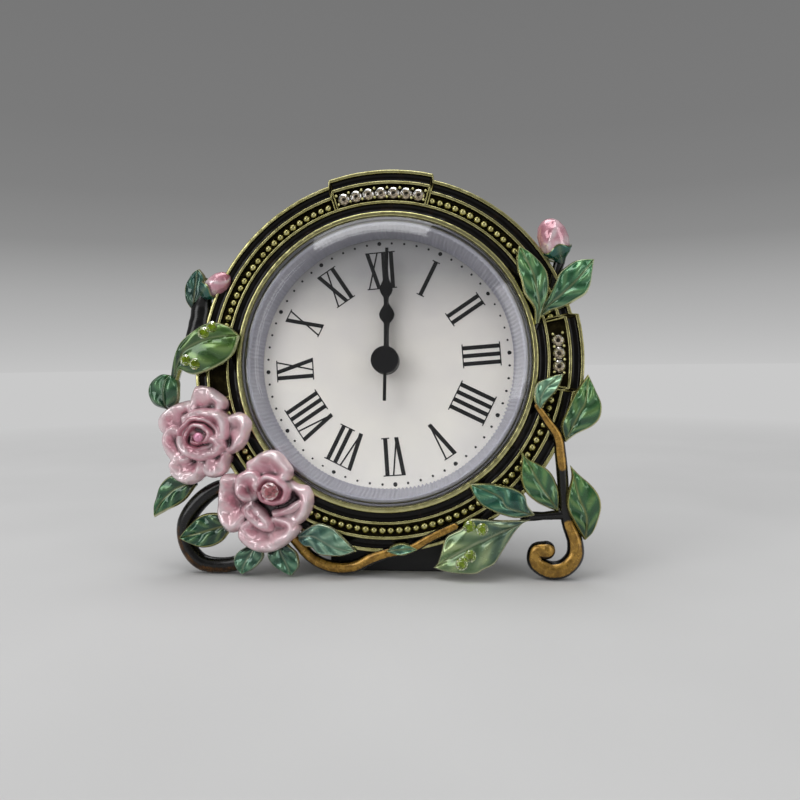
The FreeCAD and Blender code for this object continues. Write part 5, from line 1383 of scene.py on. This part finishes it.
# Foot, tip and width of each bud; width of its calyx, with start and end as shares of the bud
bud_rows = (((-32.3, 12.5, 2.9), (-27.8, 15.5, 3.5), 2.0), ((29.8, 17.1, 3.6), (27.6, 23.9, 3.7), 2.75))
cup_rows = ((2.0, -0.35, 0.36), (2.35, -0.16, 0.30))
calyx_leaf_shape = dict(
    first_edge=[(-34.8, 9.2), (-35.9, 11.2), (-36.0, 13.8), (-35.2, 15.6), (-33.7, 17.0)],
    second_edge=[(-33.8, 9.2), (-32.6, 11.4), (-32.0, 13.6), (-32.5, 15.6), (-33.7, 17.0)],
    levels=(2.6, 2.9), arch=0.6, vein_count=3)
right_bud_stem = ((29.9, 17.0, 3.2, 0.95), (29.2, 14.6, 3.0, 0.85), (28.2, 11.6, 2.9, 0.8),
                  (26.8, 8.4, 3.1, 0.8), (25.4, 5.4, 3.6, 0.7), (25.2, 4.4, 3.7, 0.6))
left_bud_stem = ((-32.7, 12.2, 2.5, 1.2), (-33.1, 9.6, 2.4, 1.9), (-33.4, 6.8, 2.6, 2.0),
                 (-34.4, 4.0, 3.0, 1.4))


def tube_points(middles, radius, around, side, lift):
    """Rings of points about middles, across the side and lift directions."""
    points = (middles + side * (radius * np.cos(around))[:, :, None]
              + lift * (radius * np.sin(around))[:, :, None])
    return points.reshape(-1, 3)


def bud_grid(foot, tip, width):
    length, along, side, lift = axes_along(foot, tip)
    share = np.linspace(0, 1, bud_steps)
    from_foot = share[:, None]
    around = round_turn(bud_sides)
    phase = (bud_folds * around[None, :] / TURN + bud_twist * from_foot) % 1.0
    fold = 0.05 * phase * soft_step(0.0, 0.35, from_foot)
    radius = width * np.interp(share, *bud_outline)[:, None] * (0.92 + fold)
    middles = (foot + along * from_foot * length)[:, None, :]
    fold_share = soft_step(0.05, 0.4, from_foot)
    crease = np.exp(-(np.minimum(phase, 1 - phase) / 0.05) ** 2) * fold_share
    crest = np.exp(-((phase - 0.93) / 0.07) ** 2) * fold_share
    ragged = 0.25 + waves(around, (0.05, 3, 0.0), (0.03, 8, 1.0))[None, :]
    foot_rim = 0.8 * soft_step(0.16, 0.02, np.abs(from_foot - ragged))
    # Painted shade in the wrapped folds and a painted highlight along each fold's crest; the ragged band near
    # the foot is paler enamel.
    marks = {"hollow": crease * 0.12, "rim": crest * 0.8 + foot_rim,
             "depth": np.broadcast_to(0.15 + 0.5 * from_foot, radius.shape)}
    faces = grid_faces(bud_steps, bud_sides, close_columns=True)
    return tube_points(middles, radius, around, side, lift), faces, marks


def cup_grid(foot, tip, width, start, end):
    length, along, side, lift = axes_along(foot, tip)
    around = round_turn(cup_sides)
    share = np.linspace(0, 1, cup_steps)
    from_foot = share[:, None]
    scalloped_end = end + 0.05 * np.cos(4 * around) - 0.1
    place = start + (scalloped_end[None, :] - start) * from_foot
    middles = foot + along * (place * length)[:, :, None]
    radius = width * np.interp(share, *cup_outline)[:, None]
    # Four ribs carry the vein mark: painted highlight on them and painted shade between them.
    vein = np.broadcast_to(np.abs(np.cos(2 * around)) ** 14, place.shape)
    marks = {"rim": np.broadcast_to(soft_step(0.9, 1.0, from_foot), place.shape),
             "vein": 0.5 + 0.4 * vein, "rib": vein * 0.5, "along": np.broadcast_to(from_foot, place.shape)}
    faces = grid_faces(cup_steps, cup_sides, close_columns=True)
    return tube_points(middles, radius, around, side, lift), faces, marks


def make_buds():
    buds = [bud_grid(*row) for row in bud_rows]
    piece_from_parts("rose_buds", buds, FINISH["rose_enamel"], ("buds",))
    cups = [cup_grid(foot, tip, *cup) for (foot, tip, _), cup in zip(bud_rows, cup_rows)]
    calyx_enamel = leaf_enamel("calyx_enamel", "0c2f2a", "1f6a5c", "8f8a4c")
    piece_from_parts("bud_cups", cups + [leaf_grid(**calyx_leaf_shape)], calyx_enamel,
                     ("bud_calyxes",))
    stems = [stem_grid(right_bud_stem, 70, crown_span=no_gold),
             stem_grid(left_bud_stem, 60, crown_span=no_gold)]
    piece_from_parts("bud_stems", stems, FINISH["black_vine"])


# Crystal and sight ring

lens_turns = 240
lens_corner = 0.3
lens_sharp_angle = math.radians(50)
lens_section = (
    (0.0, 6.3), (8.0, 6.3), (16.0, 6.3), (21.2, 6.3), (22.1, 6.22), (24.75, 5.0), (25.0, 4.6), (25.0, 2.6),
    (26.2, 2.6), (26.2, 1.72), (24.3, 1.72), (24.3, 3.6), (24.1, 3.95), (21.9, 4.97), (21.0, 5.05),
    (12.0, 5.05), (0.0, 5.05),
)
sight_ring_turns = 1200
serration_steps = 6.0

# radius, level and depth of the serration
sight_ring_section = np.array([
    (22.3, 0.02, 0.14), (22.3, 0.5, 0.14), (22.6, 1.2, 0.12), (23.4, 3.7, 0.12), (23.7, 3.85, 0.12),
    (24.0, 3.6, 0.0), (24.2, 1.72, 0.0), (26.15, 1.70, 0.0), (26.15, 1.22, 0.0), (22.82, 1.18, 0.0),
    (22.82, 0.02, 0.0),
])


def merge_close_points(piece):
    """Join the points that a turned section leaves on the axis."""
    work = bmesh.new()
    work.from_mesh(piece.data)
    bmesh.ops.remove_doubles(work, verts=work.verts, dist=0.001 * MM)
    work.to_mesh(piece.data)
    work.free()


def make_lens():
    section = rounded_corners(lens_section, lens_corner, 6)
    points = turned_points(round_turn(lens_turns), section[None, :, 0], section[None, :, 1])
    lens = make_mesh("crystal_cap", points, grid_faces(lens_turns, len(section), close_rows=True))
    merge_close_points(lens)
    lens.data.set_sharp_from_angle(angle=lens_sharp_angle)
    finish_piece(lens, FINISH["lens_acrylic"], replaces=("lens",))


def make_sight_ring():
    section_radius, section_level, bite = sight_ring_section.T[:, None, :]
    serration = np.abs((np.arange(sight_ring_turns) / serration_steps) % 1.0 - 0.5) * 2
    radius = section_radius - bite * serration[:, None]
    points = turned_points(round_turn(sight_ring_turns), radius, section_level)
    faces = grid_faces(sight_ring_turns, len(sight_ring_section), close_rows=True, close_columns=True)
    ring = make_mesh("knurled_sight_ring", points, faces, smooth=False)
    finish_piece(ring, FINISH["sight_ring_metal"], replaces=("sight_ring",))


# CAD nodes that keep their own shape

kept_finishes = {
    "dial": "dial_white", "dial_print": "print_black", "hour_hand": "hand_black", "minute_hand": "hand_black",
    "seconds_hand": "hand_black", "gasket": "gasket_rubber", "back_cover": "cover_black",
    "easel_leg": "leg_black", "hinge_pin": "steel", "cover_screws": "steel", "battery_hatch": "cover_black",
    "movement_holder": "case_plastic", "movement_case": "case_plastic", "rotor": "magnet",
    "step_wheel": "wheel_plastic", "seconds_wheel": "wheel_plastic", "third_wheel": "wheel_plastic",
    "centre_wheel": "wheel_plastic", "cannon_pinion": "wheel_brass", "minute_wheel": "wheel_plastic",
    "hour_wheel": "wheel_plastic", "setting_knob": "knob_plastic", "stator": "steel", "coil": "coil_copper",
    "circuit_board": "board_green", "battery": "battery_steel", "battery_contacts": "steel",
}


def dress_kept_nodes():
    for name, finish in kept_finishes.items():
        kept = nodes[name]
        kept.data.materials.clear()
        kept.data.materials.append(FINISH[finish])


# Stage: floor, round wall with the photograph's grey, lamps and world

floor_reach = 3.2
floor_clear_share = 0.05
floor_far_share = 0.11
wall_distance = 3.0
wall_foot = -0.01
wall_top = 2.4
wall_sides = 96
# Painted shade on the glowing wall: lighter at its foot and darker towards its top.
wall_shade_tones = ((0.0, "c4c4c4"), (0.30, "a8a8a8"), (0.50, "8c8c8c"), (0.70, "808080"), (0.95, "7a7a7a"),
              (1.5, "767676"))
wall_plain_light = (0.23, 0.23, 0.23, 1.0)
lamp_aim = (0.0, 0.0, 0.03)

# name, place, width and height in metres, and power in watts
lamp_rows = (
    ("overhead", (-0.06, 0.02, 0.62), (0.60, 0.44), 2.3),
    ("front_left", (-0.42, -0.42, 0.28), (0.26, 0.40), 0.95),
    ("front_right", (0.42, -0.30, 0.20), (0.22, 0.46), 0.5),
)
world_tones = ((0.45, 0.28), (0.55, 0.34), (0.7, 0.42), (1.0, 0.75))
world_strength = 0.7


def stage_piece(name, places, faces, material):
    piece = link_mesh(name, places, faces)
    piece.data.materials.append(material)
    material.cycles.emission_sampling = "NONE"


def seen_ray(tree):
    """One for rays from the camera, and for what metal and glass show."""
    path = node(tree, "ShaderNodeLightPath")
    shiny = math_node(tree, "MAXIMUM", path.outputs["Is Glossy Ray"], path.outputs["Is Transmission Ray"])
    return math_node(tree, "MAXIMUM", path.outputs["Is Camera Ray"], shiny)


def make_floor():
    """A pale floor that takes the shadow near the clock and has one tone further off."""
    material, tree, shader = new_material("studio_floor", Roughness=0.85)
    cloud = speckle(tree, 60.0, 2.0)
    feed(tree, shader, Base_Color=ramp(tree, cloud, [(0.3, colour("c6c6c6")), (0.7, colour("cccccc"))]))
    away = node(tree, "ShaderNodeVectorMath", {0: place_in_object(tree)}, operation="LENGTH").outputs["Value"]
    far = ramp(tree, math_node(tree, "DIVIDE", away, floor_reach),
               [(floor_clear_share, 0.0), (floor_far_share, 1.0)])
    glow = node(tree, "ShaderNodeEmission", {"Color": colour("c9c9c9")})
    show(tree, mixed_shader(tree, math_node(tree, "MULTIPLY", far, seen_ray(tree)), shader, glow))
    reach = floor_reach
    corners = [(-reach, -reach, 0), (reach, -reach, 0), (reach, reach, 0), (-reach, reach, 0)]
    stage_piece("studio_floor", corners, [(0, 1, 2, 3)], material)


def make_wall():
    """A round wall, so that every view has the same background; it glows, with painted shade darker towards
    its top.
    """
    material, tree, _ = new_material("studio_wall", Roughness=1.0)
    height = node(tree, "ShaderNodeSeparateXYZ", {"Vector": place_in_object(tree)}).outputs["Z"]
    tone = ramp(tree, math_node(tree, "DIVIDE", height, wall_top),
                [(place / wall_top, colour(text)) for place, text in wall_shade_tones])
    show(tree, node(tree, "ShaderNodeEmission", {
        "Color": mixed(tree, seen_ray(tree), wall_plain_light, tone)}))
    angles = round_turn(wall_sides)
    rings = [ring_of_points(wall_distance, level, angles) for level in (wall_foot, wall_top)]
    stage_piece("studio_wall", np.vstack(rings), grid_faces(2, wall_sides, close_columns=True), material)


def make_lamps():
    for name, place, (width, height), power in lamp_rows:
        light = bpy.data.lights.new(name, "AREA")
        light.shape = "RECTANGLE"
        light.size = width
        light.size_y = height
        light.energy = power
        lamp = bpy.data.objects.new(name, light)
        direction = Vector(lamp_aim) - Vector(place)
        lamp.rotation_euler = direction.to_track_quat("-Z", "Y").to_euler()
        lamp.location = place
        bpy.context.scene.collection.objects.link(lamp)


def make_world():
    """Plain grey light from all round, stronger from above."""
    world = bpy.data.worlds.new("studio_world")
    world.use_nodes = True
    tree = world.node_tree
    direction = node(tree, "ShaderNodeTexCoord").outputs["Generated"]
    height = node(tree, "ShaderNodeSeparateXYZ", {"Vector": direction}).outputs["Z"]
    share = math_node(tree, "ADD", math_node(tree, "MULTIPLY", height, 0.5), 0.5)
    back = next(item for item in tree.nodes if item.type == "BACKGROUND")
    feed(tree, back, Color=ramp(tree, share, world_tones))
    back.inputs["Strength"].default_value = world_strength
    bpy.context.scene.world = world


make_camera()
make_ring()
make_ring_enamel()
make_beads()
make_ring_stones()
make_leaves()
make_vines()
make_roses()
make_green_stones()
make_buds()
make_lens()
make_sight_ring()
dress_kept_nodes()
make_floor()
make_wall()
make_lamps()
make_world()
bpy.context.scene.view_settings.view_transform = "Standard"
